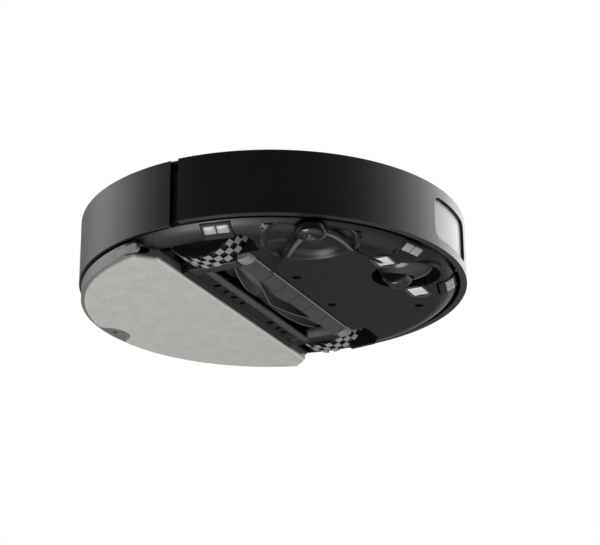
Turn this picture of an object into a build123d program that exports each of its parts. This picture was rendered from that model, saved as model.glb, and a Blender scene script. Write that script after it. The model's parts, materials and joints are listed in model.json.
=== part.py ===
"""Robot vacuum with a mopping plate, as an assembly of separate pieces.

Frame: millimetres, +Z up, floor at z = 0, the drive wheels' axles on the X axis.
The front is -Y and the robot's own left is +X. The origin is on the floor, under
the centre of the round body.
"""

import os
from math import atan2, cos, degrees, pi, radians, sin, sqrt

from build123d import *

os.makedirs("parts", exist_ok=True)

# ---------------------------------------------------------------- driving sizes
bumper_radius = 175.0  # the body is 350 mm across
bumper_low = 17.0
bumper_high = 73.3
shell_wall = 2.5
casing_radius = bumper_radius - 4.8  # the rear casing stands back from the bumper
casing_high = bumper_high + 2.2
deck_high = bumper_high + 5.7
turret_high = deck_high + 18.0
far = 3 * bumper_radius  # past the whole body, for trimming

base_radius = bumper_radius - 10.0  # chassis tray
base_low = 9.0  # ground clearance of its flat floor
base_wall = 3.0
seat_z = 17.1  # top of the collars that the inner housings stand on
rim_high = 20.0
rim_width = 3.0

bumper_gap_y = 1.0  # bumper ends this far in front of the axle line
slot_width = 10.0  # open slot between bumper and rear casing
casing_start = slot_width - bumper_gap_y

wheel_radius = 36.0
wheel_width = 23.0
wheel_inner_x = 110.0
tread_depth = 2.0
hub_radius = 25.0
axle_radius = 4.0
running_gap = 0.05  # radial, shafts in their bores
arm_thick = 8.0
pivot_reach = 42.5  # suspension pivot ahead of the axle
pivot_rise = 20.0  # and above it, so that the wheel swings down and forwards

brush_y = -5.5
brush_radius = 22.0
brush_z = brush_radius + 2.0
brush_half = 86.0
journal_radius = 3.0
core_radius = 11.0
sleeve_wall = 1.5
bay_half = 104.0
bay_wall = 2.0
bay_room = brush_radius + 2.0  # inner radius of the bay
bay_front = brush_y - bay_room - 3.5
bay_rear = brush_y + bay_room + 3.8
mouth_front = brush_y - 13.1
mouth_rear = brush_y + 13.0
mouth_half = 86.0

side_x, side_y = -124.5, -97.0  # side brush axis
side_motor_x, side_motor_y = -107.0, -83.0
side_reach = 81.0
side_dome = 14.5
pit_x, pit_y, pit_radius = -111.0, -89.0, 41.0
pit_depth = 5.0

caster_y = -130.0
caster_pit = 30.0
caster_wheel_radius = 13.0
caster_trail = 8.0

holder_radius = base_radius + 3.0
pad_radius = holder_radius - 1.5
pad_thick = 3.0
holder_high = 14.0
mop_front = 33.0  # straight front edge of the pad
mop_gap = 0.6
notch_radius = 24.6
notch_y = holder_radius + 4.6
mop_corner_x = holder_radius - 10.0
mop_corner_y = mop_front + 15.0
mop_front_x = mop_corner_x - 14.6

fit_gap = 0.3  # between neighbours that move past each other
screw_radius = 3.6

lidar_y = -30.0
turret_radius = 50.0

SIDES = (("left", 1), ("right", -1))
written = []


def save(builder, name):
    """Label a finished piece and write its STEP file."""
    builder.part.label = name
    export_step(builder.part, f"parts/{name}.step")
    written.append(name)


def box_between(low, high, mode=Mode.ADD):
    """A box given by its lowest and highest corners, in the open part."""
    size = [b - a for a, b in zip(low, high)]
    middle = [(a + b) / 2 for a, b in zip(low, high)]
    with Locations(tuple(middle)):
        Box(*size, mode=mode)


def mop_outline(grow=0.0, radius=holder_radius):
    """D-shaped face of the mopping plate, grown outwards by a gap."""
    radius = radius + grow
    front = mop_front - grow
    corner_x = mop_corner_x + grow
    corner_y = mop_corner_y - grow * 0.4
    front_x = mop_front_x + grow * 0.4
    arc_y = sqrt(radius**2 - corner_x**2)
    with BuildSketch() as outline:
        with BuildLine():
            Polyline((corner_x, arc_y), (corner_x, corner_y), (front_x, front))
            Line((front_x, front), (-front_x, front))
            Polyline((-front_x, front), (-corner_x, corner_y), (-corner_x, arc_y))
            ThreePointArc((-corner_x, arc_y), (0, radius), (corner_x, arc_y))
        make_face()
    return outline.sketch


# ------------------------------------------------------------------ chassis base
screw_spots = [(37.2, -43.5), (-37.2, -43.5), (73.7, -113.0), (-73.7, -113.0)]
contact_spots = [(39.4, -125.5), (-39.4, -125.5)]
contact_size = (14.0, 17.0)
well_inner = wheel_inner_x - 2.5
well_outer = wheel_inner_x + wheel_width + arm_thick + 5.5
well_front, well_rear = -46.5, 38.5
well_wall = 1.8
well_high = bumper_high + 2.1
sensor_width, sensor_high, sensor_z = 26.0, 7.0, 16.0
sensor_spots = [
    ("front_left", -90 + 16.3, base_radius - 10.0, 12.0),
    ("front_right", -90 - 16.3, base_radius - 10.0, 12.0),
    ("rear_left", -9.9, base_radius - 7.8, 8.5),
    ("rear_right", 180 + 9.9, base_radius - 7.8, 8.5),
]


def sensor_place(angle, radius):
    """Place of a drop sensor in the curved rim, its long side along the rim."""
    turn = radians(angle)
    return Location((radius * cos(turn), radius * sin(turn), sensor_z), (0, 0, angle + 90))


recess_edge = mop_outline(mop_gap + base_wall)
recess = mop_outline(mop_gap)

with BuildPart() as chassis_base:
    with BuildSketch(Plane.XZ):
        with BuildLine():
            Line((0, base_low), (base_radius - 17, base_low))
            TangentArc((base_radius - 17, base_low), (base_radius, seat_z), tangent=(1, 0))
            Polyline(
                (base_radius, seat_z),
                (base_radius, rim_high),
                (base_radius - rim_width, rim_high),
                (base_radius - 19, base_low + base_wall),
                (0, base_low + base_wall),
                (0, base_low),
            )
        make_face()
    revolve(axis=Axis.Z)
    # Thick edge round the mopping plate's recess, then the recess itself.
    with BuildSketch(Plane.XY.offset(base_low)):
        add(recess_edge)
        Circle(base_radius - 9, mode=Mode.INTERSECT)
    extrude(amount=seat_z - base_low)
    with BuildSketch(Plane.XY.offset(holder_high + mop_gap)):
        add(recess)
        Circle(base_radius, mode=Mode.INTERSECT)
    extrude(amount=seat_z - holder_high - mop_gap)
    with BuildSketch(Plane.XY.offset(base_low - 1)):
        add(recess)
    extrude(amount=holder_high + mop_gap - base_low + 1, mode=Mode.SUBTRACT)
    # Collars for the housings above the floor.
    for sign in (1, -1):
        with BuildSketch(Plane.XY.offset(base_low)):
            with BuildLine():
                Polyline(
                    (sign * (well_inner - well_wall), mop_front - mop_gap),
                    (sign * (well_outer + well_wall), mop_front - mop_gap),
                    (sign * (well_outer + well_wall), well_front + 8),
                    (sign * (well_outer - 8), well_front - well_wall),
                    (sign * (well_inner - well_wall), well_front - well_wall),
                    close=True,
                )
            make_face()
        extrude(amount=seat_z - base_low)
    box_between(
        (-bay_half - 1.5, bay_front - 2.0, base_low),
        (bay_half + 1.5, bay_rear + 2.0, seat_z),
    )
    with Locations((0, caster_y, (base_low + seat_z) / 2)):
        Cylinder(caster_pit + 2.0, seat_z - base_low)
    with Locations((0, caster_y, seat_z + 5)):
        Cylinder(caster_pit + 2.1, 10, mode=Mode.SUBTRACT)
    # Dished recess under the side brush, open at the rim.
    with BuildSketch(Plane.XY.offset(base_low + 1.0)):
        with Locations((pit_x, pit_y)):
            Circle(pit_radius + 2.5)
        Circle(base_radius - 6.5, mode=Mode.INTERSECT)
    extrude(amount=pit_depth + 1.6)
    with Locations((pit_x, pit_y, base_low - 1 + (pit_depth + 1) / 2)):
        Cone(pit_radius + 1.0, pit_radius - 7.0, pit_depth + 1, mode=Mode.SUBTRACT)
    # Openings through the floor.
    for sign in (1, -1):
        with BuildSketch(Plane.XY.offset(base_low - 1)):
            with BuildLine():
                Polyline(
                    (sign * well_inner, mop_front - mop_gap - 1),
                    (sign * well_outer, mop_front - mop_gap - 1),
                    (sign * well_outer, well_front + 8),
                    (sign * (well_outer - 8), well_front),
                    (sign * well_inner, well_front),
                    close=True,
                )
            make_face()
        extrude(amount=20, mode=Mode.SUBTRACT)
    box_between(
        (-bay_half, bay_front, base_low - 1),
        (bay_half, bay_rear, seat_z + 1),
        mode=Mode.SUBTRACT,
    )
    with Locations((0, caster_y, 13)):
        Cylinder(caster_pit, 20, mode=Mode.SUBTRACT)
    with Locations((side_x, side_y, 12)):
        Cylinder(5.5, 20, mode=Mode.SUBTRACT)
    # Screw bosses with sunk heads.
    for x, y in screw_spots:
        with Locations((x, y, base_low + 3.0)):
            Cylinder(screw_radius + 2.2, 6.0)
        with Locations((x, y, base_low + 1.5)):
            Cylinder(screw_radius + 0.4, 5.0, mode=Mode.SUBTRACT)
    # Seats of the charging contacts.
    for x, y in contact_spots:
        box_between((x - 12, y - 10, base_low), (x + 12, y + 10, base_low + 5.0))
        box_between(
            (x - contact_size[1] / 2, y - contact_size[0] / 2, base_low - 1),
            (x + contact_size[1] / 2, y + contact_size[0] / 2, base_low + 2.0),
            mode=Mode.SUBTRACT,
        )
    for _, angle, radius, depth in sensor_spots:
        with Locations(sensor_place(angle, radius)):
            Box(sensor_width + 0.6, depth + 0.6, 30, mode=Mode.SUBTRACT)
save(chassis_base, "chassis_base")

# ------------------------------------------------------- outer shell and its frame
with BuildPart() as front_frame:
    with BuildSketch(Plane.XY.offset(rim_high)):
        Circle(base_radius - 1)
        Circle(base_radius - 3.5, mode=Mode.SUBTRACT)
        with Locations((0, far / 2 - 5.0)):
            Rectangle(far, far, mode=Mode.SUBTRACT)
    extrude(amount=bumper_high - 1.8 - rim_high)
    # Pillars that close the slots at both sides.
    with BuildSketch(Plane.XY.offset(rim_high)):
        Circle(base_radius + 1)
        Circle(base_radius - 3.5, mode=Mode.SUBTRACT)
        with Locations((0, casing_start / 2 + 3)):
            Rectangle(far, 2 * casing_start + 10, mode=Mode.INTERSECT)
    extrude(amount=bumper_high - 5.5 - rim_high)
save(front_frame, "front_frame")

with BuildPart() as rear_casing:
    with BuildSketch():
        Circle(casing_radius)
        Circle(casing_radius - shell_wall, mode=Mode.SUBTRACT)
        with Locations((0, casing_start - far / 2)):
            Rectangle(far, far, mode=Mode.SUBTRACT)
    extrude(amount=casing_high - bumper_low)
    # Lower flange, which stands on the chassis rim behind the slots.
    with BuildSketch(Plane.XY.offset(rim_high - bumper_low)):
        Circle(casing_radius - 1)
        Circle(base_radius - 4, mode=Mode.SUBTRACT)
        with Locations((0, 3 * casing_start - far / 2)):
            Rectangle(far, far, mode=Mode.SUBTRACT)
    extrude(amount=2.0)
    # Ends that turn in to meet the slots.
    for sign in (1, -1):
        x_low, x_high = sorted((sign * (casing_radius - 3.9), sign * (casing_radius - 1.2)))
        box_between(
            (x_low, casing_start, 0), (x_high, casing_start + 2.0, bumper_high - bumper_low)
        )
    rims = rear_casing.edges().filter_by(GeomType.CIRCLE).group_by(Axis.Z)[-1]
    fillet(rims.sort_by(SortBy.RADIUS)[-1], 1.2)
rear_casing.part.position = (0, 0, bumper_low)
save(rear_casing, "rear_casing")

lid_front, lid_rear, lid_half = 38.0, 130.0, 98.0
barrel_radius = 3.0
pin_radius = 1.2
lid_axis_z = deck_high - barrel_radius
post_spots = [(64, -126), (-64, -126), (118, 64), (-118, 64)]
button_spots = [("power_button", 16.0), ("home_button", -16.0)]
button_y = -118.0
button_radius = 6.0
lidar_hole = 42.0

with BuildPart() as top_cover:
    with BuildSketch(Plane.XZ):
        with BuildLine():
            Polyline(
                (0, deck_high),
                (base_radius - 7.5, deck_high),
                (base_radius + 2.0, bumper_high + 2.4),
                (base_radius + 2.0, bumper_high + fit_gap),
                (base_radius - 1.5, bumper_high + fit_gap),
                (base_radius - 8.5, deck_high - shell_wall),
                (0, deck_high - shell_wall),
                (0, deck_high),
            )
        make_face()
    revolve(axis=Axis.Z)
    for x, y in post_spots:
        post_low = base_low + base_wall if y < 0 else seat_z
        with Locations((x, y, (post_low + deck_high - 1) / 2)):
            Cylinder(4.0, deck_high - 1 - post_low)
    # Ledge and lugs of the lid.
    box_between(
        (-lid_half, lid_rear - 4, deck_high - 6),
        (lid_half, lid_rear + 4, deck_high - shell_wall - 0.1),
    )
    for sign in (1, -1):
        x_low, x_high = sorted((sign * (lid_half + fit_gap), sign * (lid_half + 7)))
        box_between(
            (x_low, lid_front - 4, lid_axis_z - 4), (x_high, lid_front + 4, deck_high - 1)
        )
    box_between(
        (-lid_half - fit_gap, lid_front - barrel_radius - fit_gap, deck_high - shell_wall - 0.1),
        (lid_half + fit_gap, lid_rear + fit_gap, deck_high + 1),
        mode=Mode.SUBTRACT,
    )
    with Locations(Plane.YZ.offset(0)):
        with Locations((lid_front, lid_axis_z)):
            Cylinder(pin_radius, 2 * lid_half + 10, mode=Mode.SUBTRACT)
    with Locations((0, lidar_y, deck_high)):
        Cylinder(lidar_hole, 10, mode=Mode.SUBTRACT)
    for _, x in button_spots:
        with Locations((x, button_y, deck_high)):
            Cylinder(button_radius + fit_gap, 10, mode=Mode.SUBTRACT)
save(top_cover, "top_cover")

with BuildPart() as dust_lid:
    box_between(
        (-lid_half, lid_front, deck_high - shell_wall), (lid_half, lid_rear, deck_high)
    )
    fillet(dust_lid.edges().filter_by(Axis.Z).group_by(Axis.Y)[-1], 6.0)
    with Locations(Plane.YZ):
        with Locations((lid_front, lid_axis_z)):
            Cylinder(barrel_radius, 2 * lid_half)
            Cylinder(pin_radius + running_gap, 2 * lid_half + 2, mode=Mode.SUBTRACT)
save(dust_lid, "dust_lid")

with BuildPart() as lid_hinge_pin:
    with Locations(Plane.YZ):
        with Locations((lid_front, lid_axis_z)):
            Cylinder(pin_radius, 2 * lid_half + 10)
save(lid_hinge_pin, "lid_hinge_pin")

for name, x in button_spots:
    with BuildPart() as button:
        with Locations((x, button_y, deck_high - 1.9)):
            Cylinder(button_radius, 4.6)
        fillet(button.edges().group_by(Axis.Z)[-1], 0.6)
    save(button, name)

# -------------------------------------------------------------- distance sensor
rotor_bore = 8.0
with BuildPart() as lidar_base:
    with Locations((0, lidar_y, deck_high - 2.5)):
        Cylinder(lidar_hole - 0.2, 5.0)
    with Locations((0, lidar_y, deck_high + 3.0)):
        Cylinder(rotor_bore - running_gap, 6.0)
    with BuildSketch(Plane.XY.offset(deck_high)):
        with Locations((0, lidar_y)):
            Circle(lidar_hole + 6)
            Circle(rotor_bore + 8, mode=Mode.SUBTRACT)
    extrude(amount=1.2)
save(lidar_base, "lidar_base")

with BuildPart() as lidar_rotor:
    with Locations((0, lidar_y, deck_high + 7.4)):
        Cylinder(37.0, 10.0)
    with Locations((0, lidar_y, deck_high + 4.9)):
        Cylinder(rotor_bore, 5.2, mode=Mode.SUBTRACT)
    with Locations((0, lidar_y - 37, deck_high + 7.5)):
        Box(34, 16, 6, mode=Mode.SUBTRACT)
save(lidar_rotor, "lidar_rotor")

with BuildPart() as lidar_cover:
    with BuildSketch(Plane.XY.offset(deck_high + 1.2)):
        with Locations((0, lidar_y)):
            Circle(turret_radius)
            Circle(turret_radius - 8, mode=Mode.SUBTRACT)
    extrude(amount=2.0)
    with Locations((0, lidar_y)):
        with PolarLocations(turret_radius - 4.5, 6, start_angle=30):
            with Locations((0, 0, deck_high + 8)):
                Cylinder(2.2, 13.0)
    with Locations((0, lidar_y, turret_high - 2.0)):
        Cylinder(turret_radius, 4.0)
    fillet(lidar_cover.edges().group_by(Axis.Z)[-1], 1.5)
save(lidar_cover, "lidar_cover")

with BuildPart() as lidar_motor:
    with Locations((0, lidar_y - 20, deck_high - 5.0 - 9.0)):
        Cylinder(12.0, 18.0)
save(lidar_motor, "lidar_motor")

# ------------------------------------------------------------------------ bumper
window_half, window_low, window_high, window_corner = 34.8, 25.0, 63.0, 8.0
light_x, light_z = -15.2, bumper_high - 4.3
light_size = (5.0, 1.6)
light_plane_y = bumper_radius - 1.6
with BuildPart() as bumper:
    with BuildSketch(Plane.XY.offset(bumper_low)):
        Circle(bumper_radius)
        Circle(bumper_radius - shell_wall, mode=Mode.SUBTRACT)
        with Locations((0, far / 2 - bumper_gap_y)):
            Rectangle(far, far, mode=Mode.SUBTRACT)
    extrude(amount=bumper_high - bumper_low)
    for low, inner in ((bumper_low, base_radius + 4.2), (bumper_high - 1.5, base_radius - 1.5)):
        with BuildSketch(Plane.XY.offset(low)):
            Circle(bumper_radius - 1)
            Circle(inner, mode=Mode.SUBTRACT)
            with Locations((0, far / 2 - bumper_gap_y)):
                Rectangle(far, far, mode=Mode.SUBTRACT)
        extrude(amount=1.5)
    with BuildSketch(Plane.XZ.offset(bumper_radius - 20)):
        with Locations((0, (window_low + window_high) / 2)):
            RectangleRounded(2 * window_half, window_high - window_low, window_corner)
    extrude(amount=30, mode=Mode.SUBTRACT)
    with BuildSketch(Plane.XZ.offset(light_plane_y)):
        with Locations((light_x, light_z)):
            SlotOverall(light_size[0], light_size[1])
    extrude(amount=5, mode=Mode.SUBTRACT)
    rims = bumper.edges().filter_by(GeomType.CIRCLE).filter_by(
        lambda edge: abs(edge.radius - bumper_radius) < 0.01
    )
    fillet(rims.group_by(Axis.Z)[-1], 0.8)
save(bumper, "bumper")

with BuildPart() as front_window:
    with BuildSketch(Plane.XY.offset(window_low)):
        Circle(bumper_radius - 0.9)
        Circle(bumper_radius - shell_wall, mode=Mode.SUBTRACT)
    extrude(amount=window_high - window_low)
    with BuildSketch(Plane.XZ.offset(bumper_radius - 20)):
        with Locations((0, (window_low + window_high) / 2)):
            RectangleRounded(
                2 * window_half - 0.2, window_high - window_low - 0.2, window_corner - 0.1
            )
    extrude(amount=30, mode=Mode.INTERSECT)
save(front_window, "front_window")

# ------------------------------------------------------------- main brush module
duct_half, duct_low, duct_high = 28.0, 27.0, 41.0
with BuildPart() as brush_bay:
    with BuildSketch(Plane.YZ.offset(-bay_half - 1.5)):
        with Locations((brush_y, brush_z)):
            Circle(bay_room + bay_wall)
        with Locations((brush_y, (seat_z + brush_z) / 2)):
            Rectangle(2 * (bay_room + bay_wall), brush_z - seat_z)
        with Locations((brush_y, seat_z - 50)):
            Rectangle(100, 100, mode=Mode.SUBTRACT)
    extrude(amount=2 * bay_half + 3)
    with BuildSketch(Plane.YZ.offset(-bay_half + 1.5)):
        with Locations((brush_y, brush_z)):
            Circle(bay_room)
        with Locations((brush_y, brush_z / 2)):
            Rectangle(2 * bay_room, brush_z)
    extrude(amount=2 * bay_half - 3, mode=Mode.SUBTRACT)
    # Duct towards the dust bin.
    box_between(
        (-duct_half, brush_y + 10, duct_low),
        (duct_half, brush_y + bay_room + 16, duct_high),
        mode=Mode.SUBTRACT,
    )
save(brush_bay, "brush_bay")

with BuildPart() as brush_core:
    with Locations(Plane.YZ):
        with Locations((brush_y, brush_z)):
            Cylinder(core_radius, 2 * (brush_half + 6))
            Cylinder(journal_radius, 2 * (brush_half + 16))
save(brush_core, "brush_core")

fin_count = 6
fin_wall = 2.4
fin_twist = 55.0
with BuildPart() as brush_fins:
    with Locations(Plane.YZ):
        with Locations((brush_y, brush_z)):
            Cylinder(core_radius + sleeve_wall, 2 * brush_half)
    for index in range(fin_count):
        for side in (1, -1):
            steps = 4
            for step in range(steps + 1):
                turn = index * 360 / fin_count + fin_twist * step / steps
                reach = brush_radius - core_radius - 0.6
                with BuildSketch(Plane.YZ.offset(side * (brush_half - 0.5) * step / steps)):
                    with Locations((brush_y, brush_z)):
                        with Locations(Location((0, 0, 0), (0, 0, turn))):
                            with Locations((core_radius + 0.6 + reach / 2, 0)):
                                Rectangle(reach, fin_wall)
            loft(ruled=True)
    with Locations(Plane.YZ):
        with Locations((brush_y, brush_z)):
            Cylinder(core_radius, 2 * brush_half + 2, mode=Mode.SUBTRACT)
save(brush_fins, "brush_fins")

with BuildPart() as brush_bearings:
    for sign in (1, -1):
        x_low, x_high = sorted((sign * (brush_half + 7), sign * (bay_half - 1.5)))
        box_between((x_low, brush_y - 11, 12.5), (x_high, brush_y + 11, brush_z + 10))
    with Locations(Plane.YZ):
        with Locations((brush_y, brush_z)):
            Cylinder(journal_radius + running_gap, 300, mode=Mode.SUBTRACT)
save(brush_bearings, "brush_bearings")

with BuildPart() as brush_gearbox:
    box_between((-104, -62, seat_z), (-66, bay_front - 4.2, 48))
    with Locations(Plane.YZ.offset(-50)):
        with Locations((-48, 30)):
            Cylinder(11.0, 34)
save(brush_gearbox, "brush_gearbox")

with BuildPart() as brush_cover:
    with BuildSketch(Plane.YZ.offset(-bay_half)):
        with BuildLine():
            Polyline(
                (bay_front + 0.5, 8.4),
                (mouth_front, 2.4),
                (mouth_rear, 2.0),
                (mouth_rear + 7.5, 1.7),
                (bay_rear - 0.8, 7.6),
                (bay_rear - 0.8, 10.6),
                (mouth_rear + 6.0, 4.6),
                (mouth_front + 1.0, 5.2),
                (bay_front + 0.5, 11.4),
                close=True,
            )
        make_face()
    extrude(amount=2 * bay_half)
    with BuildSketch():
        with BuildLine():
            Polyline(
                (bay_half - 0.6, bay_front + 0.5), (95, -23), (98, bay_rear), (-98, bay_rear),
                (-95, -23), (0.6 - bay_half, bay_front + 0.5), close=True,
            )
        make_face()
    extrude(amount=20, mode=Mode.INTERSECT)
    box_between(
        (-mouth_half, mouth_front, 0), (mouth_half, mouth_rear, 20), mode=Mode.SUBTRACT
    )
save(brush_cover, "brush_cover")

latch_width = 3.2
for side, sign in SIDES:
    with BuildPart() as cover_latch:
        x_low, x_high = sorted((sign * (bay_half - 0.4 - latch_width), sign * (bay_half - 0.4)))
        box_between((x_low, -19, 5.5), (x_high, bay_rear - 1, 12.2))
        fillet(cover_latch.edges().filter_by(Axis.Z), 1.2)
    save(cover_latch, f"cover_latch_{side}")

# -------------------------------------------------------------------- side brush
arm_angles = (-28.0, 59.0)
arm_slope = degrees(atan2(7.8, side_reach))
with BuildPart() as side_brush_hub:
    with Locations((side_x, side_y, base_low - 1.0)):
        Cylinder(side_dome, 8.0)
    fillet(side_brush_hub.edges().group_by(Axis.Z)[0], 4.5)
    with Locations((side_x, side_y, base_low + 2.0)):
        Cylinder(2.5, 6.1, mode=Mode.SUBTRACT)
    with Locations((side_x, side_y, base_low - 5.0)):
        Cylinder(screw_radius, 3.0, mode=Mode.SUBTRACT)


def arm_plane(angle):
    """Plane of one sweeping arm: x outwards and a little down, z up."""
    turn = radians(angle)
    slope = radians(arm_slope)
    out = Vector(cos(turn) * cos(slope), sin(turn) * cos(slope), -sin(slope))
    side = Vector(-sin(turn), cos(turn), 0)
    return Plane(origin=(side_x, side_y, base_low + 1.6), x_dir=out, z_dir=out.cross(side))


paddle_reach = 46.0
with side_brush_hub:
    for angle in arm_angles:
        with BuildSketch(arm_plane(angle)):
            with BuildLine():
                Spline((8, -5), (24, -6.5), (paddle_reach, -2.6))
                Line((paddle_reach, -2.6), (paddle_reach, 2.6))
                Spline((paddle_reach, 2.6), (24, -0.5), (8, 5))
                Line((8, 5), (8, -5))
            make_face()
        extrude(amount=-2.4)
save(side_brush_hub, "side_brush_hub")

with BuildPart() as side_brush_bristles:
    for angle in arm_angles:
        with BuildSketch(arm_plane(angle)):
            with BuildLine():
                Polyline(
                    (paddle_reach, -2.4), (side_reach, -1.0), (side_reach, 1.2),
                    (paddle_reach, 2.4), close=True,
                )
            make_face()
        extrude(amount=-1.8)
save(side_brush_bristles, "side_brush_bristles")

with BuildPart() as side_brush_motor:
    # Gear case from the brush's axis to the motor, which stands further in.
    with BuildSketch(Plane.XY.offset(seat_z - 0.4)):
        with Locations((side_motor_x, side_motor_y)):
            Circle(12.5)
        with Locations((side_x, side_y)):
            Circle(3.8)
        make_hull()
    extrude(amount=2.8)
    with Locations((side_motor_x, side_motor_y, rim_high + 11.0)):
        Cylinder(12.0, 24.0)
    with Locations((side_x, side_y, base_low + 5.0)):
        Cylinder(2.4, 8.0)
    with Locations((side_x, side_y, base_low + 6.6)):
        Cylinder(3.8, 4.5)
save(side_brush_motor, "side_brush_motor")

with BuildPart() as side_brush_screw:
    with Locations((side_x, side_y, base_low - 5.0)):
        Cylinder(3.3, 2.6)
    with Locations((side_x, side_y, base_low - 6.3)):
        Box(4.4, 0.9, 1.2, mode=Mode.SUBTRACT)
        Box(0.9, 4.4, 1.2, mode=Mode.SUBTRACT)
save(side_brush_screw, "side_brush_screw")

# ------------------------------------------------------------------ drive wheels
wheel_mid_x = wheel_inner_x + wheel_width / 2
arm_inner_x = wheel_inner_x + wheel_width + 1.0
pivot_y, pivot_z = -pivot_reach, wheel_radius + pivot_rise
pivot_radius = 2.5
tread_rows = 3
tread_count = 20

for side, sign in SIDES:
    with BuildPart() as wheel_well:
        x_low, x_high = sorted((sign * (well_inner - well_wall), sign * (well_outer + well_wall)))
        box_between(
            (x_low, well_front - well_wall, seat_z), (x_high, well_rear + well_wall, well_high)
        )
        fillet(wheel_well.edges().filter_by(Axis.Z).group_by(Axis.X)[-1 if sign > 0 else 0], 3.0)
        x_low, x_high = sorted((sign * well_inner, sign * well_outer))
        box_between(
            (x_low, well_front, seat_z - 1), (x_high, well_rear, well_high - well_wall),
            mode=Mode.SUBTRACT,
        )
        # Boss and bore of the suspension pin in the outer wall.
        with Locations(Plane.YZ.offset(sign * (well_outer + well_wall / 2))):
            with Locations((pivot_y, pivot_z)):
                Cylinder(pivot_radius, 3 * well_wall, mode=Mode.SUBTRACT)
    save(wheel_well, f"wheel_well_{side}")

    with BuildPart() as drive_arm:
        with BuildSketch(Plane.YZ.offset(sign * arm_inner_x)):
            with Locations((pivot_y, pivot_z)):
                Circle(3.9)
            with Locations((0, wheel_radius)):
                Circle(19.0)
            make_hull()
        extrude(amount=sign * arm_thick)
        fillet(drive_arm.edges().filter_by(GeomType.CIRCLE).group_by(Axis.Y)[-1], 1.5)
        with Locations(Plane.YZ.offset(sign * (arm_inner_x - 8))):
            with Locations((0, wheel_radius)):
                Cylinder(axle_radius, 18)
        with Locations(Plane.YZ.offset(sign * arm_inner_x)):
            with Locations((pivot_y, pivot_z)):
                Cylinder(pivot_radius + running_gap, 40, mode=Mode.SUBTRACT)
    save(drive_arm, f"drive_arm_{side}")

    with BuildPart() as wheel_hub:
        with Locations(Plane.YZ.offset(sign * wheel_mid_x)):
            with Locations((0, wheel_radius)):
                Cylinder(hub_radius, wheel_width)
        with Locations(Plane.YZ.offset(sign * wheel_inner_x)):
            with Locations((0, wheel_radius)):
                with PolarLocations(15.5, 6):
                    Cylinder(4.6, 12, mode=Mode.SUBTRACT)
        with Locations(Plane.YZ.offset(sign * wheel_mid_x)):
            with Locations((0, wheel_radius)):
                Cylinder(axle_radius + running_gap, 40, mode=Mode.SUBTRACT)
    save(wheel_hub, f"wheel_hub_{side}")

    with BuildPart() as tyre:
        with Locations(Plane.YZ.offset(sign * wheel_mid_x)):
            with Locations((0, wheel_radius)):
                Cylinder(wheel_radius - tread_depth, wheel_width)
        row_width = wheel_width / tread_rows
        block = pi * wheel_radius / tread_count
        for row in range(tread_rows):
            row_x = wheel_inner_x + row * row_width
            with BuildSketch(Plane.YZ.offset(sign * row_x)):
                with Locations((0, wheel_radius)):
                    Circle(wheel_radius)
                    with PolarLocations(
                        wheel_radius, tread_count, start_angle=180 * (row % 2) / tread_count
                    ):
                        Rectangle(5 * tread_depth, block, mode=Mode.SUBTRACT)
            extrude(amount=sign * row_width)
        with Locations(Plane.YZ.offset(sign * wheel_mid_x)):
            with Locations((0, wheel_radius)):
                Cylinder(hub_radius, 40, mode=Mode.SUBTRACT)
    save(tyre, f"tyre_{side}")

with BuildPart() as suspension_pins:
    for side, sign in SIDES:
        x_low = arm_inner_x - 0.5
        x_high = well_outer + well_wall
        with Locations(Plane.YZ.offset(sign * (x_low + x_high) / 2)):
            with Locations((pivot_y, pivot_z)):
                Cylinder(pivot_radius, x_high - x_low)
save(suspension_pins, "suspension_pins")

# ------------------------------------------------------------------------ caster
stem_radius = 5.0
stem_low = 2 * caster_wheel_radius + 7.0
socket_high = stem_low + 14.0
caster_wheel_y = caster_y + caster_trail
cheek_half = 13.0
caster_wheel_half = 8.5
caster_axle_radius = 2.0
with BuildPart() as caster_socket:
    with Locations((0, caster_y, (seat_z + socket_high) / 2)):
        Cylinder(caster_pit + 2.0, socket_high - seat_z)
    with BuildSketch(Plane.XY.offset(seat_z)):
        Circle(base_radius - 3.7)
    extrude(amount=socket_high - seat_z, mode=Mode.INTERSECT)
    with Locations((0, caster_y, seat_z - 1 + (stem_low + 1.0 - seat_z) / 2)):
        Cylinder(caster_pit, stem_low + 1.0 - seat_z + 2, mode=Mode.SUBTRACT)
    with Locations((0, caster_y, 40)):
        Cylinder(stem_radius + running_gap, 30, mode=Mode.SUBTRACT)
save(caster_socket, "caster_socket")

with BuildPart() as caster_fork:
    with Locations((0, caster_y, stem_low - 3.0)):
        Cylinder(22.0, 6.0)
    with Locations((0, caster_y, (stem_low + socket_high) / 2)):
        Cylinder(stem_radius, socket_high - stem_low)
    for sign in (1, -1):
        with BuildSketch(Plane.YZ.offset(sign * cheek_half)):
            with Locations((caster_wheel_y, caster_wheel_radius)):
                Circle(7.0)
            with BuildLine():
                Polyline(
                    (caster_wheel_y + 7, caster_wheel_radius), (caster_y + 17, stem_low - 5),
                    (caster_y - 17, stem_low - 5), (caster_wheel_y - 7, caster_wheel_radius),
                    close=True,
                )
            make_face()
        extrude(amount=-sign * 3.0)
    with Locations(Plane.YZ):
        with Locations((caster_wheel_y, caster_wheel_radius)):
            Cylinder(caster_axle_radius, 60, mode=Mode.SUBTRACT)
save(caster_fork, "caster_fork")

with BuildPart() as caster_axle:
    with Locations(Plane.YZ):
        with Locations((caster_wheel_y, caster_wheel_radius)):
            Cylinder(caster_axle_radius, 2 * cheek_half)
save(caster_axle, "caster_axle")

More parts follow.
